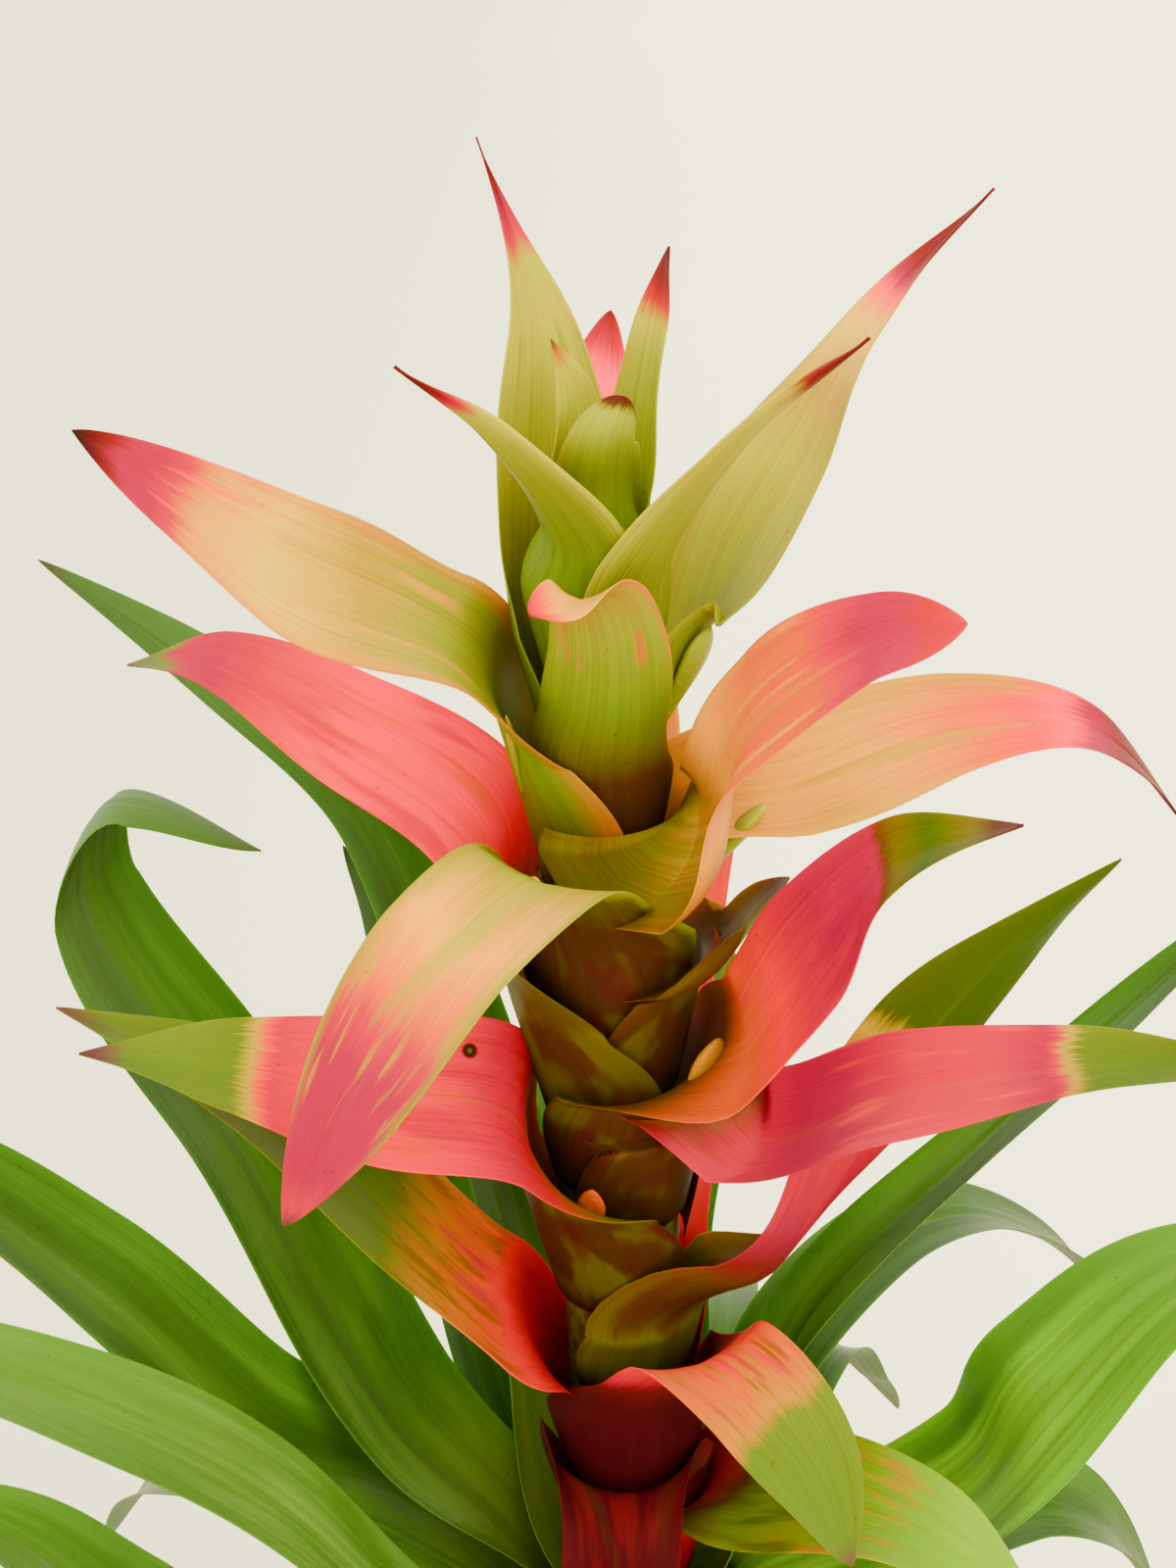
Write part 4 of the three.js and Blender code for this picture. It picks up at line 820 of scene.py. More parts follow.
def moss_tufts_object(sizes, material):
    """Tufts spread over the ball by the golden angle. Each has spikes that lean out from its middle, and a
    spike is a slim pyramid on three base points, which a nudge keeps from falling together where it stands
    straight out. Spikes near the twine are short."""
    draw = np.random.default_rng(sizes.seed)
    count = sizes.moss_tufts
    order = np.arange(count) + 0.5
    height = 1 - 2 * order / count
    turn = order * math.pi * (3 - math.sqrt(5)) + draw.normal(0, TUFT_SCATTER, count)
    level = np.sqrt(1 - height ** 2)
    directions = np.stack([level * np.sin(turn), level * np.cos(turn), height], -1)
    in_mouth = (level * BALL_RADIUS < MOSS_MOUTH_RADIUS) & (height > 0)
    directions = directions[(height > LOWEST_TUFT) & ~in_mouth]
    count = len(directions)

    east = unit(np.cross([0, 0, 1], directions))
    north = np.cross(directions, east)
    angle = np.arange(SPIKES) * FULL_TURN / SPIKES + draw.uniform(0, FULL_TURN, (count, 1))
    lean = np.radians(draw.uniform(*SPIKE_LEAN, (count, SPIKES)))[..., None]
    sideways = east[:, None] * np.cos(angle)[..., None] + north[:, None] * np.sin(angle)[..., None]
    spike = directions[:, None] * np.cos(lean) + sideways * np.sin(lean)
    press = twine_press(directions)
    length = sizes.moss_length / MM * draw.uniform(*SPIKE_LENGTH, (count, SPIKES))
    length *= 1 - SPIKE_PRESSED * press[:, None]
    root = ball_points(directions, TUFT_ROOT + TWINE_SINK * press)[:, None] + sideways * SPIKE_SPREAD
    tip = root + spike * (length + TUFT_ROOT)[..., None]
    tip[..., 2] = np.maximum(tip[..., 2], SPIKE_TIP_FOOT)

    beside = unit(np.cross(spike, directions[:, None] + SPIKE_NUDGE))
    across = np.cross(spike, beside)
    corner = (np.arange(3) * FULL_TURN / 3)[:, None]
    base = root[:, :, None] + SPIKE_RADIUS * (
        beside[:, :, None] * np.cos(corner) + across[:, :, None] * np.sin(corner))
    base[..., 2] = np.maximum(base[..., 2], SPIKE_FOOT)
    vertices = np.concatenate([base, tip[:, :, None]], 2).reshape(-1, 3)
    first = np.arange(count * SPIKES)[:, None, None] * 4
    faces = (first + np.array([[0, 2, 1], [0, 1, 3], [1, 2, 3], [2, 0, 3]])).reshape(-1, 3)
    shade = np.broadcast_to(draw.uniform(0, 1, (count, 1, 1)), (count, SPIKES, 4))
    rise = np.broadcast_to([0, 0, 0, 1], (count, SPIKES, 4))
    return make_object("moss_tufts", vertices, [faces], material, [("tuft_shade", shade), ("rise", rise)])


def twine_object(material):
    """Rings of twine round the ball, each of three strands. A strand is a round tube whose centre circles
    the ring's line as a helix, and a ring lifts where it crosses the rings before it."""
    level, steep, normals = twine_planes()
    angle = np.linspace(0, FULL_TURN, TWINE_STEPS, endpoint=False)
    spin = np.linspace(0, FULL_TURN, TWINE_SIDES, endpoint=False)
    radius = TWINE_RADIUS * STRAND_SHARE
    offset = TWINE_RADIUS - radius
    tubes = []
    for ring, (first, second) in enumerate(zip(level, steep)):
        direction = first * np.cos(angle)[:, None] + second * np.sin(angle)[:, None]
        over = np.exp(-(direction @ normals[:ring].T * BALL_RADIUS / TWINE_CROSSING) ** 2)
        lift = 2 * TWINE_RADIUS * over.max(-1, initial=0)
        line = direction * (ball_radius(direction) + TWINE_GAP + TWINE_RADIUS + lift)[:, None]
        line[:, 2] += BALL_CENTRE
        for strand in range(TWINE_STRANDS):
            twist = angle * TWINE_TWISTS + strand * FULL_TURN / TWINE_STRANDS
            swing = direction * np.cos(twist)[:, None] + normals[ring] * np.sin(twist)[:, None]
            centre = line + offset * swing
            forward = unit(np.roll(centre, -1, 0) - np.roll(centre, 1, 0))
            up = unit(direction - forward * np.sum(direction * forward, -1, keepdims=True))
            beside = np.cross(forward, up)
            spokes = up[:, None] * np.cos(spin)[:, None] + beside[:, None] * np.sin(spin)[:, None]
            tubes.append(centre[:, None] + radius * spokes)
    vertices = np.concatenate(tubes).reshape(-1, 3)
    loop = ring_faces(TWINE_STEPS, TWINE_SIDES, closed=True)
    starts = np.arange(len(tubes))[:, None, None] * TWINE_STEPS * TWINE_SIDES
    faces = (loop + starts).reshape(-1, 4)
    return make_object("twine_strands", vertices, [faces], material)


def soil_object(material):
    """The soil ball: up its round outside, in over its crumbly top, and down the hole of the root plug."""
    radius = BALL_RADIUS - SOIL_DEPTH
    rim = math.acos((SOIL_TOP - BALL_CENTRE) / radius)
    polar = np.linspace(0, math.pi - rim, SOIL_ROWS)[1:]
    outside = ball_points(ball_directions(polar, SOIL_COLUMNS), SOIL_DEPTH, SOIL_DEPTH)
    inwards = np.linspace(radius * math.sin(rim), PLUG_RADIUS + FOOT_GAP, SOIL_TOP_ROWS)[1:]
    turn = np.linspace(0, FULL_TURN, SOIL_COLUMNS, endpoint=False)
    spokes = np.stack([np.sin(turn), -np.cos(turn), 0 * turn], -1)
    top = spokes * inwards[:, None, None] + np.array([0, 0, SOIL_TOP])
    hole = spokes * inwards[-1] + np.array([0, 0, PLUG_BOTTOM])
    rings = np.concatenate([outside, top, hole[None]])
    crumbs = SOIL_CRUMBS * (1 + relief_of(rings, CRUMB_WAVES)) * smooth(BALL_CENTRE, SOIL_TOP, rings[..., 2])
    rings[:-1, :, 2] -= crumbs[:-1]
    vertices = np.vstack([[0, 0, SOIL_DEPTH], rings.reshape(-1, 3), [0, 0, PLUG_BOTTOM]])
    return make_object("soil_ball", vertices, lathe_faces(len(rings), SOIL_COLUMNS), material)


def stalk_object(material):
    """The stalk from its root plug to its tip: a round section carried up the leaning axis, with a low
    swelling at each blade's foot."""
    feet = np.array([form["base"] for form in [*BRACTS.values(), *LEAVES.values()]])
    heights = np.array([PLUG_BOTTOM, PLUG_TOP, *np.linspace(STALK_FOOT, STALK_TOP, STALK_ROWS)])
    radii = stalk_radius(heights) - STALK_JOINTS * (1 - np.exp(-(heights[:, None] - feet) ** 2).max(-1))
    radii[:2] = PLUG_RADIUS
    turn = np.linspace(0, FULL_TURN, STALK_COLUMNS, endpoint=False)
    spokes = np.stack([np.cos(turn), np.sin(turn), 0 * turn], -1)
    rings = axis_at(heights)[:, None] + spokes * radii[:, None, None]
    vertices = np.vstack([axis_at(heights[0]), rings.reshape(-1, 3), axis_at(heights[-1])])
    return make_object("stalk_stem", vertices, lathe_faces(len(heights), STALK_COLUMNS), material)


class Value:
    """A number that varies over a surface. It wraps a node's output, and Python's operators on it add
    Math nodes."""

    def __init__(self, paint, socket):
        self.paint = paint
        self.socket = socket

    def __add__(self, other):
        return self.paint.maths("ADD", self, other)

    __radd__ = __add__

    def __mul__(self, other):
        return self.paint.maths("MULTIPLY", self, other)

    __rmul__ = __mul__

    def __sub__(self, other):
        return self.paint.maths("SUBTRACT", self, other)

    def __rsub__(self, other):
        return self.paint.maths("SUBTRACT", other, self)

    def __pow__(self, other):
        return self.paint.maths("POWER", self, other)

    def __abs__(self):
        return self.paint.maths("ABSOLUTE", self)


class Paint:
    """A material being made. Every node but its shader comes from node()."""

    def __init__(self, name, **finish):
        self.material = bpy.data.materials.new(name)
        self.material.use_nodes = True
        self.tree = self.material.node_tree
        self.shader = self.tree.nodes["Principled BSDF"]
        for socket, value in finish.items():
            self.shader.inputs[socket.replace("_", " ").title().replace("Ior", "IOR")].default_value = value

    def node(self, kind, settings, inputs):
        """A node with its settings, then the values or links of its sockets by name or number."""
        node = self.tree.nodes.new(kind)
        for setting, value in settings.items():
            if setting == "stops":
                self.set_stops(node.color_ramp.elements, value)
            else:
                setattr(node, setting, value)
        for socket, value in inputs.items():
            self.feed(node.inputs[socket], value)
        return node

    def set_stops(self, elements, stops):
        """Sets a ramp's stops, which are pairs of a position and a colour in rising order."""
        elements[0].position, elements[0].color = stops[0]
        elements[-1].position, elements[-1].color = stops[-1]
        for position, colour in stops[1:-1]:
            elements.new(position).color = colour

    def feed(self, socket, value):
        """Links a node's output to a socket, or sets the socket to a constant."""
        source = getattr(value, "socket", value)
        if isinstance(source, bpy.types.NodeSocket):
            self.tree.links.new(source, socket)
        else:
            socket.default_value = source

    def maths(self, operation, *terms):
        """One sum, product or the like of values and numbers."""
        node = self.node("ShaderNodeMath", {"operation": operation}, dict(enumerate(terms)))
        return Value(self, node.outputs[0])

    def ease(self, value, low, high):
        """0 at the first number and 1 at the second, with a smooth step between. The first may be higher."""
        settings = {"interpolation_type": "SMOOTHSTEP"}
        return Value(self, self.node("ShaderNodeMapRange", settings, {0: value, 1: low, 2: high}).outputs[0])

    def mix(self, factor, first, second, blend="MIX"):
        """The first colour where the factor is 0, and the second laid over it where the factor is 1."""
        settings = {"data_type": "RGBA", "blend_type": blend}
        return self.node("ShaderNodeMix", settings, {0: factor, 6: first, 7: second}).outputs[2]

    def lay(self, colour, over, value, low, high, strength=1.0, blend="MIX"):
        """Lays a colour over another, up to a strength, as a value goes from the first number to the
        second."""
        return self.mix(self.ease(value, low, high) * strength, colour, over, blend)

    def ramp(self, value, stops, hues):
        """Named colours along a value, by the positions where they are pure."""
        colours = [(position, hues[name]) for position, name in stops.items()]
        return self.node("ShaderNodeValToRGB", {"stops": colours}, {"Fac": value}).outputs["Color"]

    def noise(self, vector, scale, detail=2.0):
        """Soft noise from 0 to 1 with a number of cells to each unit of the vector."""
        node = self.node("ShaderNodeTexNoise", {}, {"Vector": vector, "Scale": scale, "Detail": detail})
        return Value(self, node.outputs[0])

    def attribute(self, name):
        """A number that the mesh holds at each point."""
        return Value(self, self.node("ShaderNodeAttribute", {"attribute_name": name}, {}).outputs["Fac"])

    def place(self):
        """The place on the object, in metres."""
        return self.node("ShaderNodeTexCoord", {}, {}).outputs["Object"]

    def relief(self, height, depth):
        """Bumps the surface by a height from 0 to 1 and a depth in metres."""
        bump = self.node("ShaderNodeBump", {}, {"Height": height, "Distance": depth})
        self.feed(self.shader.inputs["Normal"], bump.outputs[0])

    def finish(self, colour, roughness):
        """Gives the shader its colour and roughness, and returns the material."""
        self.feed(self.shader.inputs["Base Color"], colour)
        self.feed(self.shader.inputs["Roughness"], roughness)
        return self.material


class BladePaint(Paint):
    """The paint of a bract or a leaf, whose patterns run along its own map: share from foot to tip, and
    across from margin to margin."""

    def __init__(self, name, blade, seed, **finish):
        super().__init__(name, **finish)
        uv = self.node("ShaderNodeUVMap", {"uv_map": BLADE_MAP}, {})
        parts = self.node("ShaderNodeSeparateXYZ", {}, {0: uv.outputs[0]})
        self.share = Value(self, parts.outputs[0])
        self.across = Value(self, parts.outputs[1]) * 2 - 1
        self.length = blade.length
        self.half = blade.form["width"] / 2
        self.seed = seed
        self.inner = self.attribute("inner_face")

    def grain(self, along, across, detail):
        """Noise whose features are about the given millimetres long and wide. Each call draws another."""
        self.seed += 1
        vector = self.node("ShaderNodeCombineXYZ", {}, {
            0: self.share * (self.length / along),
            1: self.across * (self.half / across),
            2: self.seed * SEED_DISTANCE,
        })
        return self.noise(vector.outputs[0], 1.0, detail)

    def blotch(self, along, across, amount):
        """A mask of soft-edged blotches that cover about the given share of the blade."""
        edge = 0.5 + BLOTCH_REACH * (1 - 2 * amount)
        low, high = BLOTCH_EDGE
        return self.ease(self.grain(along, across, BLOTCH_DETAIL), edge + low, edge + high)


def bract_paint(name, blade, look, hues, sizes, seed):
    """A bract's finish. Colours run from foot to tip along a ramp, whose borders are drawn out into teeth
    along the veins. Blotches, streaks, a margin line and the midline lie over them, then fine veins, red
    stipple and dark specks. The outer face is duller."""
    look = {**BRACT_MARKS, **look}
    paint = BladePaint(name, blade, seed, **BRACT_FINISH)
    side = abs(paint.across)
    teeth = paint.grain(*BRACT_TEETH) - 0.5
    drift = paint.grain(*BRACT_DRIFT) - 0.5
    share = paint.share + teeth * look["teeth"] + drift * look["drift"]
    colour = paint.ramp(share, look["stops"], hues)

    for hue, amount, first, last, along, across in look["blotches"]:
        zone = paint.ease(share, first, first + BLOTCH_FADE) * paint.ease(share, last, last - BLOTCH_FADE)
        mask = paint.blotch(along, across, amount) * zone
        colour = paint.mix(mask * BLOTCH_STRENGTH, colour, hues[hue])
    if "margin" in look:
        hue, width, amount = look["margin"]
        fade = paint.ease(paint.share, 0.9, 0.75) * amount
        colour = paint.mix(paint.ease(side, 1 - width, 1) * fade, colour, hues[hue])
    fade = paint.ease(paint.share, 0.2, 0.4) * paint.ease(paint.share, 0.85, 0.7) * look["midline"]
    colour = paint.mix(paint.ease(side, 0.10, 0) * fade, colour, hues["butter"])

    veins = paint.grain(*BRACT_VEINS)
    colour = paint.lay(colour, VEIN_SHADE, veins, 0.5, 0.72, 0.65, "MULTIPLY")
    colour = paint.lay(colour, VEIN_LIGHT, veins, 0.5, 0.28, 0.55, "MULTIPLY")
    if "stipple" in look:
        hue, amount = look["stipple"]
        dots = paint.noise(paint.place(), sizes.dot_density / MM, 1.0)
        colour = paint.lay(colour, hues[hue], dots, 0.60, 0.68, amount)
    specks = paint.noise(paint.place(), sizes.speck_density / MM, 1.0)
    patches = paint.ease(paint.grain(*SPECK_PATCHES), 0.5, 0.6) * look["specks"]
    colour = paint.mix(paint.ease(specks, 0.735, 0.76) * patches, colour, hues["speck"])
    if "ring" in look:
        colour = ring_mark(paint, colour, look["ring"], hues)
    paint.relief(veins * 0.7 + teeth * 0.3, sizes.vein_depth)
    return paint.finish(colour, 0.36 + 0.16 * paint.grain(*BRACT_GLOSS) + 0.12 * (1 - paint.inner))


def ring_mark(paint, colour, centre, hues):
    """A small brown ring with a pale middle at a share along and a share across. Its edges are in
    millimetres from its centre."""
    along = (paint.share - centre[0]) * paint.length
    across = (paint.across - centre[1]) * paint.half
    distance = (along ** 2 + across ** 2) ** 0.5
    colour = paint.lay(colour, hues["umber"], distance, 1.9, 1.1)
    return paint.lay(colour, hues["olive"], distance, 0.7, 0.3)


def leaf_paint(name, blade, look, hues, sizes, seed):
    """A leaf's finish: two greens drift along it and pale towards the foot, the midline and the margins
    are lighter, ribs and fine veins run along it, and the outer face is paler and duller."""
    paint = BladePaint(name, blade, seed, **LEAF_FINISH)
    side = abs(paint.across)
    colour = paint.lay(hues[look["dark"]], hues[look["light"]], paint.grain(*LEAF_DRIFT), 0.35, 0.65)
    colour = paint.lay(colour, hues["leaf_foot"], paint.share, 0.35, 0.08)
    colour = paint.lay(colour, hues["leaf_light"], side, 0.09, 0, 0.30)
    colour = paint.lay(colour, hues["leaf_light"], side, 0.93, 1, 0.45)
    ribs = paint.grain(*LEAF_RIBS)
    colour = paint.lay(colour, hues["leaf_deep"], ribs, 0.42, 0.62, 0.30)
    veins = paint.grain(*LEAF_VEINS)
    colour = paint.lay(colour, hues["leaf_deep"], veins, 0.5, 0.75, 0.22)
    colour = paint.lay(colour, hues["leaf_light"], veins, 0.5, 0.28, 0.16)
    colour = paint.lay(colour, hues[look["end"]], paint.share, 0.55, 0.9, 0.8)
    colour = paint.lay(colour, hues["umber"], paint.share, 0.965, 0.995, 0.8)
    specks = paint.noise(paint.place(), sizes.speck_density / MM, 1.0)
    colour = paint.lay(colour, hues["speck"], specks, 0.73, 0.76, 0.25)
    colour = paint.mix(0.5 * (1 - paint.inner), colour, hues["leaf_back"])
    paint.relief(veins * 0.35 + ribs * 0.65, sizes.vein_depth * 3)
    return paint.finish(colour, 0.30 + 0.18 * paint.grain(*LEAF_GLOSS) + 0.12 * (1 - paint.inner))


def bud_paint(name, look, hues):
    """A bud's finish: a ramp from its seat to its tip, with faint lengthwise streaks."""
    paint = Paint(name, **BUD_FINISH)
    streaks = paint.noise(paint.place(), 900)
    colour = paint.ramp(paint.attribute("rise") + (streaks - 0.5) * 0.15, look, hues)
    colour = paint.lay(colour, hues["butter"], streaks, 0.5, 0.7, 0.25)
    paint.relief(streaks, 0.00008)
    return paint.finish(colour, 0.36 + 0.1 * streaks)


def stalk_paint(hues):
    """The stalk's finish: olive, with brown fibres round the blades' feet."""
    paint = Paint("stalk_skin", **SATIN)
    fibres = paint.noise(paint.place(), 420, 4.0)
    colour = paint.lay(hues["olive"], hues["red_brown"], fibres, 0.4, 0.65)
    colour = paint.lay(colour, hues["umber"], fibres, 0.62, 0.7, 0.6)
    paint.relief(fibres, 0.0003)
    return paint.finish(colour, 0.5 + 0.2 * fibres)


def moss_paint(hues):
    """The moss mat's finish between the tufts: deep green that browns in patches."""
    paint = Paint("moss_mat", **DULL)
    patches = paint.noise(paint.place(), 45, 4.0)
    threads = paint.noise(paint.place(), 900, 3.0)
    colour = paint.lay(hues["moss_deep"], hues["moss"], patches, 0.35, 0.65)
    colour = paint.lay(colour, hues["moss_dry"], threads, 0.5, 0.7, 0.5)
    paint.relief(threads, 0.0012)
    return paint.finish(colour, 0.85 + 0.1 * threads)


def tuft_paint(hues):
    """The tufts' finish: each is fresh or dry by its own number, dark at its root and light at its tips."""
    paint = Paint("moss_tuft", **TUFT_FINISH)
    patches = paint.noise(paint.place(), 38, 3.0)
    shade = paint.attribute("tuft_shade") * 0.5 + patches * 0.5
    colour = paint.ramp(shade, {0.25: "moss_deep", 0.45: "moss", 0.62: "moss_fresh", 0.80: "moss_dry"}, hues)
    colour = paint.mix(0.75 * (1 - paint.attribute("rise")), colour, hues["moss_deep"])
    return paint.finish(colour, 0.75 + 0.15 * patches)


def twine_paint(hues):
    """The twine's finish: pale jute with darker fibres and furry wear."""
    paint = Paint("jute_twine", **DULL)
    fibres = paint.noise(paint.place(), 1600, 5.0)
    wear = paint.noise(paint.place(), 60)
    colour = paint.lay(hues["jute_dark"], hues["jute"], fibres, 0.35, 0.65)
    colour = paint.lay(colour, hues["jute_dark"], wear, 0.5, 0.7, 0.35)
    paint.relief(fibres, 0.0004)
    return paint.finish(colour, 0.85 + 0.1 * fibres)


def soil_paint(hues):
    """The soil's finish: dark brown crumbs with paler grit."""
    paint = Paint("soil_crumb", **DULL)
    crumbs = paint.noise(paint.place(), 260, 5.0)
    grit = paint.noise(paint.place(), 900)
    colour = paint.lay(hues["soil_dark"], hues["soil"], crumbs, 0.35, 0.65)
    colour = paint.lay(colour, hues["jute_dark"], grit, 0.68, 0.72, 0.6)
    paint.relief(crumbs, 0.0025)
    return paint.finish(colour, 0.88 + 0.1 * grit)


def floor_paint(hues):
    """The floor's finish: pale matt paper, darker on the left by painted shade, with a faint drift of tone.
    """
    paint = Paint("pale_paper", **MATT)
    parts = paint.node("ShaderNodeSeparateXYZ", {}, {0: paint.place()})
    # Painted shade: the floor darkens towards the left, as if less light fell there
    shade_to_left = paint.ease(Value(paint, parts.outputs[0]), 0.25, -0.35)
    drift = shade_to_left + 0.4 * paint.noise(paint.place(), 0.6)
    fine = paint.noise(paint.place(), 300, 3.0)
    colour = paint.mix(drift * 0.7 + fine * 0.1, hues["paper"], hues["paper_shade"])
    return paint.finish(colour, 0.85 + 0.1 * fine)


def linear(hexadecimal):
    """A colour's linear values from its usual six digits."""
    shown = np.array([int(hexadecimal[i:i + 2], 16) for i in (0, 2, 4)]) / 255
    return tuple(np.where(shown <= 0.04045, shown / 12.92, ((shown + 0.055) / 1.055) ** 2.4).tolist())


def tone(name, description, hexadecimal):
    """A colour property with its name, description and default."""
    return bpy.props.FloatVectorProperty(
        name=name, description=description, default=linear(hexadecimal), subtype="COLOR", min=0, max=1)


class KokedamaHues(bpy.types.PropertyGroup):
    """The colours of the bracts, leaves, moss, twine, soil and floor."""

    butter: tone("Butter", "Palest yellow of the upper bracts", "7c7800")
    cream: tone("Cream", "Pale peach-yellow of the outer bracts", "aa8202")
    sand: tone("Sand", "Warm yellow between lemon and cream", "7c6200")
    lemon: tone("Lemon", "Clear yellow with some green", "646800")
    yellow: tone("Yellow", "Strong yellow of streaks and fringes", "806800")
    lime: tone("Lime", "Fresh yellow-green of young bracts", "545c00")
    # Deep lime and olive, where they darken the bracts' cups, are the bracts' own colour with painted shade
    # in it
    lime_deep: tone("Deep lime", "Yellow-green in the bracts' cups", "445600")
    olive: tone("Olive", "Olive of the lower cups", "3e3a00")
    olive_green: tone("Olive green", "Green of the bracts' outer ends", "223600")
    grey_green: tone("Grey green", "Dull green of weathered ends", "364a06")
    green_light: tone("Light green", "Light green of the lowest bracts", "486a02")
    honey: tone("Honey", "Yellow-orange of the outer bracts", "ae6c00")
    peach: tone("Peach", "Warm peach", "aa4400")
    apricot: tone("Apricot", "Deeper orange-peach", "a03400")
    orange: tone("Orange", "Orange between red and green", "824e00")
    orange_deep: tone("Deep orange", "Brownish orange in shade", "3e2406")
    coral: tone("Coral", "Coral pink", "b80608")
    pink: tone("Pink", "Pink of the middle bracts", "d0001e")
    blush: tone("Blush", "Palest pink", "f01c3c")
    rose: tone("Rose", "Stronger pink", "92001c")
    magenta: tone("Magenta", "Deep pink patches", "780022")
    scarlet: tone("Scarlet", "Bright red", "86000a")
    crimson: tone("Crimson", "Red of the tails and tips", "500a0c")
    # Maroon, red brown and umber, where they darken the bracts' feet, are the bracts' own colour with painted
    # shade for the cups in it
    maroon: tone("Maroon", "Dark red of the outermost tips", "320408")
    red_brown: tone("Red brown", "Brown-red in the cups", "301806")
    umber: tone("Umber", "Dark brown at the feet of the bracts", "1e0e02")
    tan: tone("Tan", "Dry brown of old tips", "3f241d")
    speck: tone("Speck", "Black-brown specks", "0d0703")
    leaf_deep: tone("Deep leaf", "Dark green of the leaves", "172a00")
    leaf: tone("Leaf", "Green of the leaves", "203a04")
    leaf_light: tone("Light leaf", "Light green of the leaves", "34520c")
    leaf_pale: tone("Pale leaf", "Palest green of the leaves", "547f08")
    # Painted sheen: a paler green in place of the light caught on the leaves' faces
    leaf_sheen: tone("Sheen leaf", "Green of leaves whose faces catch the light", "4a681e")
    leaf_foot: tone("Leaf foot", "Yellowish green at the leaves' feet", "4b5a14")
    leaf_back: tone("Leaf back", "Dull green of the leaves' outer faces", "324a18")
    moss: tone("Moss", "Green of the moss", "29380a")
    moss_deep: tone("Deep moss", "Dark green between the tufts", "0d1407")
    moss_fresh: tone("Fresh moss", "Fresh green at the tufts' ends", "4b5d0d")
    moss_dry: tone("Dry moss", "Yellow-brown of dry moss", "595016")
    jute: tone("Jute", "Pale brown of the twine", "7c613c")
    jute_dark: tone("Dark jute", "Darker fibres of the twine", "4b351b")
    soil: tone("Soil", "Brown of the soil", "271b12")
    soil_dark: tone("Dark soil", "Dark brown of the soil", "100a07")
    paper: tone("Paper", "Pale floor", "d0cba4")
    # Paper shade darkens the floor both as painted shade towards the left and in its random drift
    paper_shade: tone("Paper shade", "Pale floor where it drifts darker", "a8a489")
    sky: tone("Sky", "Pale light all round", "f7f3e7")


class KokedamaSizes(bpy.types.PropertyGroup):
    """The sizes and numbers that a user would change."""

    seed: bpy.props.IntProperty(
        name="Seed", description="Seed of the random draws", default=27, min=0)
    row_spacing: bpy.props.FloatProperty(
        name="Row spacing", description="Distance between the rows of a blade's grid in millimetres",
        default=3.2, min=1)
    waviness: bpy.props.FloatProperty(
        name="Waviness", description="How much the blades' margins wave", default=1, min=0, subtype="FACTOR")
    vein_depth: bpy.props.FloatProperty(
        name="Vein depth", description="Depth of the veins' relief",
        default=0.00009, unit="LENGTH", precision=5)
    dot_density: bpy.props.FloatProperty(
        name="Stipple", description="Cells of red stipple in a millimetre", default=1.1, min=0.1)
    speck_density: bpy.props.FloatProperty(
        name="Specks", description="Cells of dark specks in a millimetre", default=0.55, min=0.1)
    moss_tufts: bpy.props.IntProperty(
        name="Moss tufts", description="Number of tufts round the whole ball", default=4700, min=100)
    moss_length: bpy.props.FloatProperty(
        name="Moss length", description="Length of the moss's spikes",
        default=0.0032, unit="LENGTH", precision=4)
    camera_distance: bpy.props.FloatProperty(
        name="Camera distance", description="From the camera to the middle of the view",
        default=0.35, unit="LENGTH")
    camera_lift: bpy.props.FloatProperty(
        name="Camera lift", description="How far the camera looks down", default=math.radians(30),
        subtype="ANGLE")
    floor_radius: bpy.props.FloatProperty(
        name="Floor radius", description="Radius of the pale floor", default=12, unit="LENGTH")


def floor_object(sizes, material):
    """A round floor: rings of points whose radii grow by squares, round one middle point."""
    radii = sizes.floor_radius / MM * np.linspace(0, 1, FLOOR_ROWS + 1)[1:] ** 2
    turn = np.linspace(0, FULL_TURN, FLOOR_COLUMNS, endpoint=False)
    spokes = np.stack([np.cos(turn), np.sin(turn), 0 * turn], -1)
    vertices = np.vstack([[0, 0, 0], (spokes * radii[:, None, None]).reshape(-1, 3)])
    index = np.arange(1, FLOOR_COLUMNS + 1)
    faces = [fan_faces(index, 0, True), ring_faces(FLOOR_ROWS, FLOOR_COLUMNS)[:, ::-1] + 1]
    return make_object("floor", vertices, faces, material)


def light_sky(colour):
    """An even pale sky."""
    sky = bpy.data.worlds.new("pale_sky")
    sky.use_nodes = True
    background = sky.node_tree.nodes["Background"]
    background.inputs["Color"].default_value = colour
    background.inputs["Strength"].default_value = SKY_STRENGTH
    bpy.context.scene.world = sky


def add_sun(name, light):
    """A wide soft sun, from its turn round the plant, its height and its width in degrees."""
    lamp = bpy.data.lights.new(name, "SUN")
    lamp.energy = light["strength"]
    lamp.angle = math.radians(light["width"])
    lamp.color = light["colour"]
    sun = bpy.data.objects.new(name, lamp)
    sun.rotation_euler = (math.radians(90 - light["height"]), 0, math.radians(light["turn"]))
    bpy.context.scene.collection.objects.link(sun)


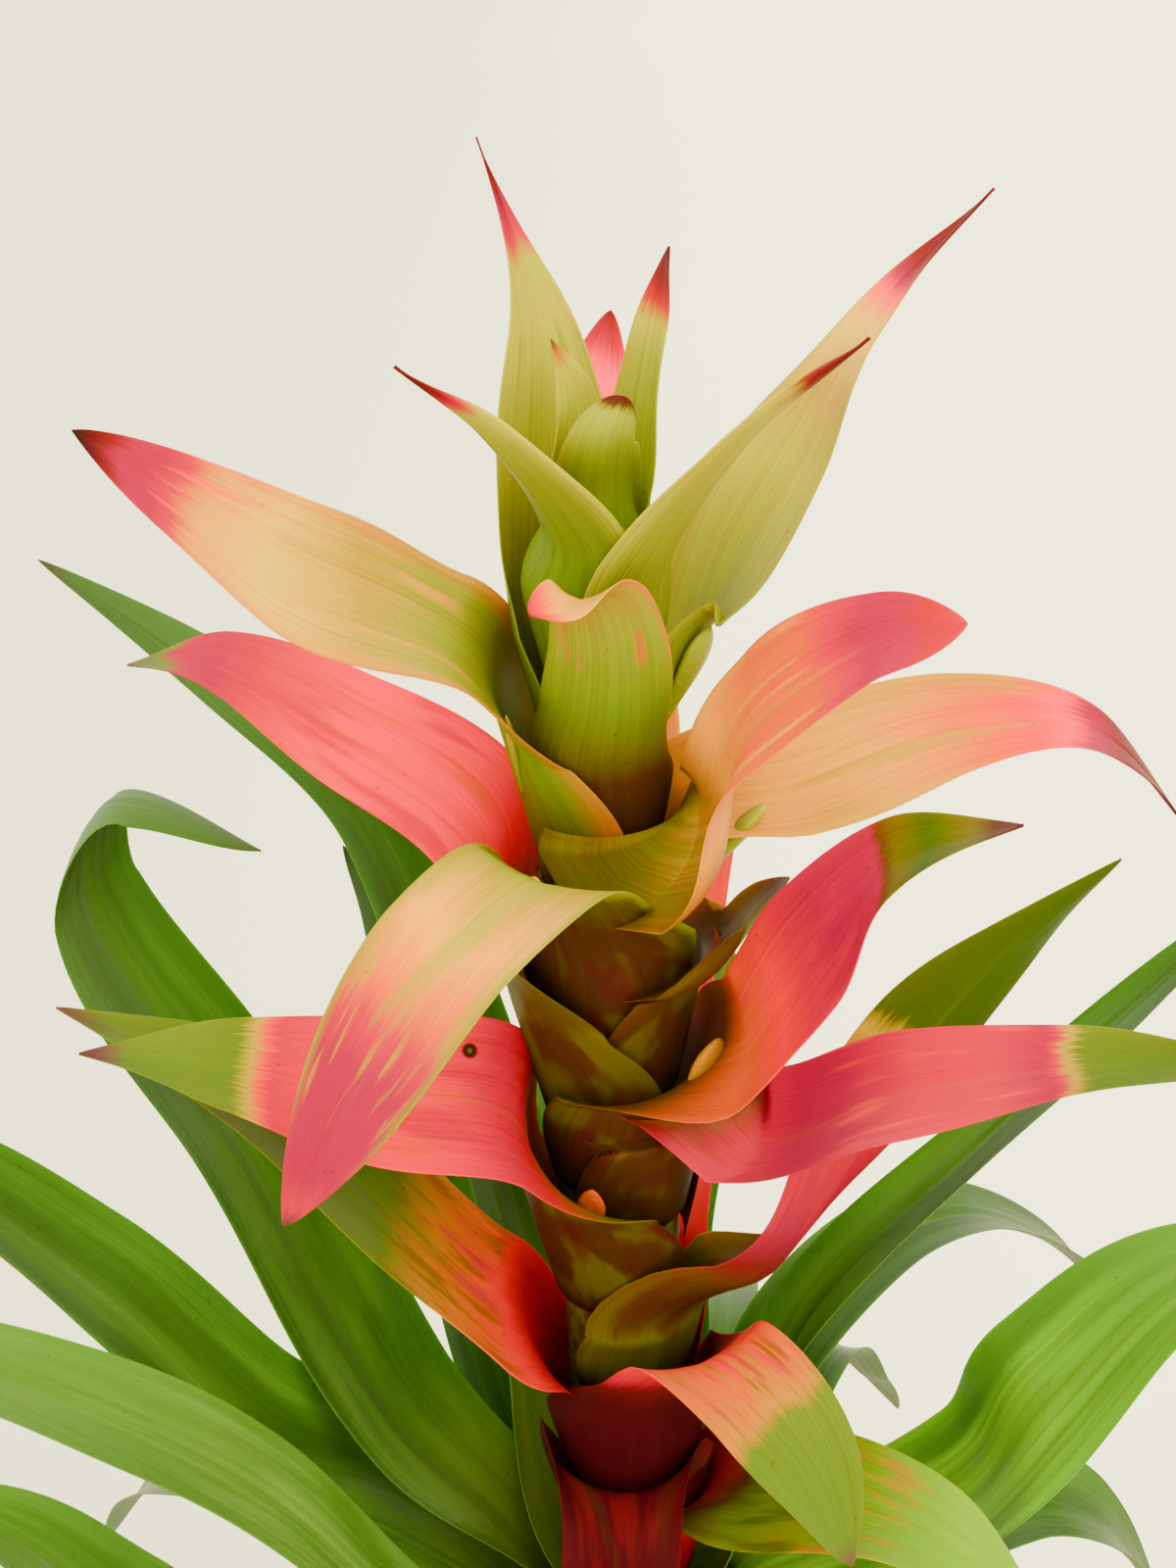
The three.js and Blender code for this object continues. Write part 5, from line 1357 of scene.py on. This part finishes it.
def camera_object(sizes):
    """The camera looks down at the middle of the view from its distance and lift."""
    lens = bpy.data.cameras.new("front_view")
    lens.lens = LENS
    lens.sensor_width = SENSOR
    lens.clip_start = NEAREST
    lens.clip_end = FARTHEST * sizes.floor_radius
    camera = bpy.data.objects.new("front_view", lens)
    lift, distance = sizes.camera_lift, sizes.camera_distance
    target = np.array(VIEW_MIDDLE) * MM
    camera.location = target + np.array([0, -math.cos(lift), math.sin(lift)]) * distance
    camera.rotation_euler = (math.pi / 2 - lift, 0, 0)
    bpy.context.scene.collection.objects.link(camera)
    return camera


def settings(context):
    """The sizes, and the colours by name with a fourth value of 1."""
    hues = context.scene.kokedama_hues
    names = KokedamaHues.__annotations__
    return context.scene.kokedama_sizes, {name: (*getattr(hues, name), 1.0) for name in names}


def stand_for(piece, node):
    """Makes a piece take the place of its solid and ride on the one body."""
    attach(piece, BODY)
    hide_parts(node)


class Build:
    """What the operators share: each builds its pieces from the scene's sizes and colours."""

    def execute(self, context):
        self.build(*settings(context))
        return {"FINISHED"}


class BuildBracts(Build, bpy.types.Operator):
    """Builds every bract of the spike"""

    bl_idname = "kokedama.bracts"
    bl_label = "Bracts"

    def build(self, sizes, hues):
        for order, (name, form) in enumerate(BRACTS.items()):
            blade = Blade(**{**BRACT_SHAPE, **form})
            paint = bract_paint(f"{name}_skin", blade, BRACT_LOOKS[name], hues, sizes, order * GRAIN_SEEDS)
            piece = blade_object(f"{name}_blade", blade, sizes, paint, sizes.seed + order)
            stand_for(piece, name)


class BuildBuds(Build, bpy.types.Operator):
    """Builds the flower buds in the angles of the bracts"""

    bl_idname = "kokedama.buds"
    bl_label = "Buds"

    def build(self, sizes, hues):
        for name, look in BUD_LOOKS.items():
            blade = Blade(**{**BRACT_SHAPE, **BRACTS[name]})
            piece = bud_object(f"{name}_bud", blade, bud_paint(f"{name}_bud_skin", look, hues))
            stand_for(piece, name)


class BuildLeaves(Build, bpy.types.Operator):
    """Builds the green leaves of the rosette"""

    bl_idname = "kokedama.leaves"
    bl_label = "Leaves"

    def build(self, sizes, hues):
        for order, (name, form) in enumerate(LEAVES.items()):
            blade = Blade(**{**LEAF_SHAPE, **form})
            grain_seed = LEAF_GRAIN_SEED + order * GRAIN_SEEDS
            paint = leaf_paint(f"{name}_skin", blade, LEAF_LOOKS[name], hues, sizes, grain_seed)
            piece = blade_object(f"{name}_blade", blade, sizes, paint, sizes.seed + LEAF_SEED + order)
            stand_for(piece, name)


class BuildStalk(Build, bpy.types.Operator):
    """Builds the stalk that carries the blades"""

    bl_idname = "kokedama.stalk"
    bl_label = "Stalk"

    def build(self, sizes, hues):
        stand_for(stalk_object(stalk_paint(hues)), "stalk")


class BuildSoil(Build, bpy.types.Operator):
    """Builds the ball of soil"""

    bl_idname = "kokedama.soil"
    bl_label = "Soil"

    def build(self, sizes, hues):
        stand_for(soil_object(soil_paint(hues)), "soil_core")


class BuildMoss(Build, bpy.types.Operator):
    """Builds the moss mat and its tufts"""

    bl_idname = "kokedama.moss"
    bl_label = "Moss"

    def build(self, sizes, hues):
        stand_for(moss_pad_object(moss_paint(hues)), "moss_layer")
        stand_for(moss_tufts_object(sizes, tuft_paint(hues)), "moss_layer")


class BuildTwine(Build, bpy.types.Operator):
    """Builds the twine round the moss"""

    bl_idname = "kokedama.twine"
    bl_label = "Twine"

    def build(self, sizes, hues):
        stand_for(twine_object(twine_paint(hues)), "twine")


class BuildStage(Build, bpy.types.Operator):
    """Builds the floor, the light and the camera"""

    bl_idname = "kokedama.stage"
    bl_label = "Stage"

    def build(self, sizes, hues):
        floor = floor_object(sizes, floor_paint(hues))
        light_sky(hues["sky"])
        add_sun("key_light", KEY_LIGHT)
        add_sun("fill_light", FILL_LIGHT)
        bpy.context.scene.camera = camera_object(sizes)


OPERATORS = [BuildStage, BuildSoil, BuildMoss, BuildTwine, BuildStalk, BuildBracts, BuildBuds, BuildLeaves]


class KokedamaPanel(bpy.types.Panel):
    """Lists the operators, sizes and colours in the sidebar"""

    bl_idname = "VIEW3D_PT_kokedama"
    bl_label = "Guzmania kokedama"
    bl_space_type = "VIEW_3D"
    bl_region_type = "UI"
    bl_category = "Kokedama"

    def draw(self, context):
        for operator in OPERATORS:
            self.layout.operator(operator.bl_idname)
        for group in (context.scene.kokedama_sizes, context.scene.kokedama_hues):
            for name in type(group).__annotations__:
                self.layout.prop(group, name)


CLASSES = [KokedamaHues, KokedamaSizes, *OPERATORS, KokedamaPanel]


def register():
    for each in CLASSES:
        bpy.utils.register_class(each)
    bpy.types.Scene.kokedama_sizes = bpy.props.PointerProperty(type=KokedamaSizes)
    bpy.types.Scene.kokedama_hues = bpy.props.PointerProperty(type=KokedamaHues)


def unregister():
    del bpy.types.Scene.kokedama_hues
    del bpy.types.Scene.kokedama_sizes
    for each in reversed(CLASSES):
        bpy.utils.unregister_class(each)


def main():
    """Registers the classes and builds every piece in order."""
    register()
    for operator in OPERATORS:
        group, action = operator.bl_idname.split(".")
        getattr(getattr(bpy.ops, group), action)()


if __name__ == "__main__":
    main()
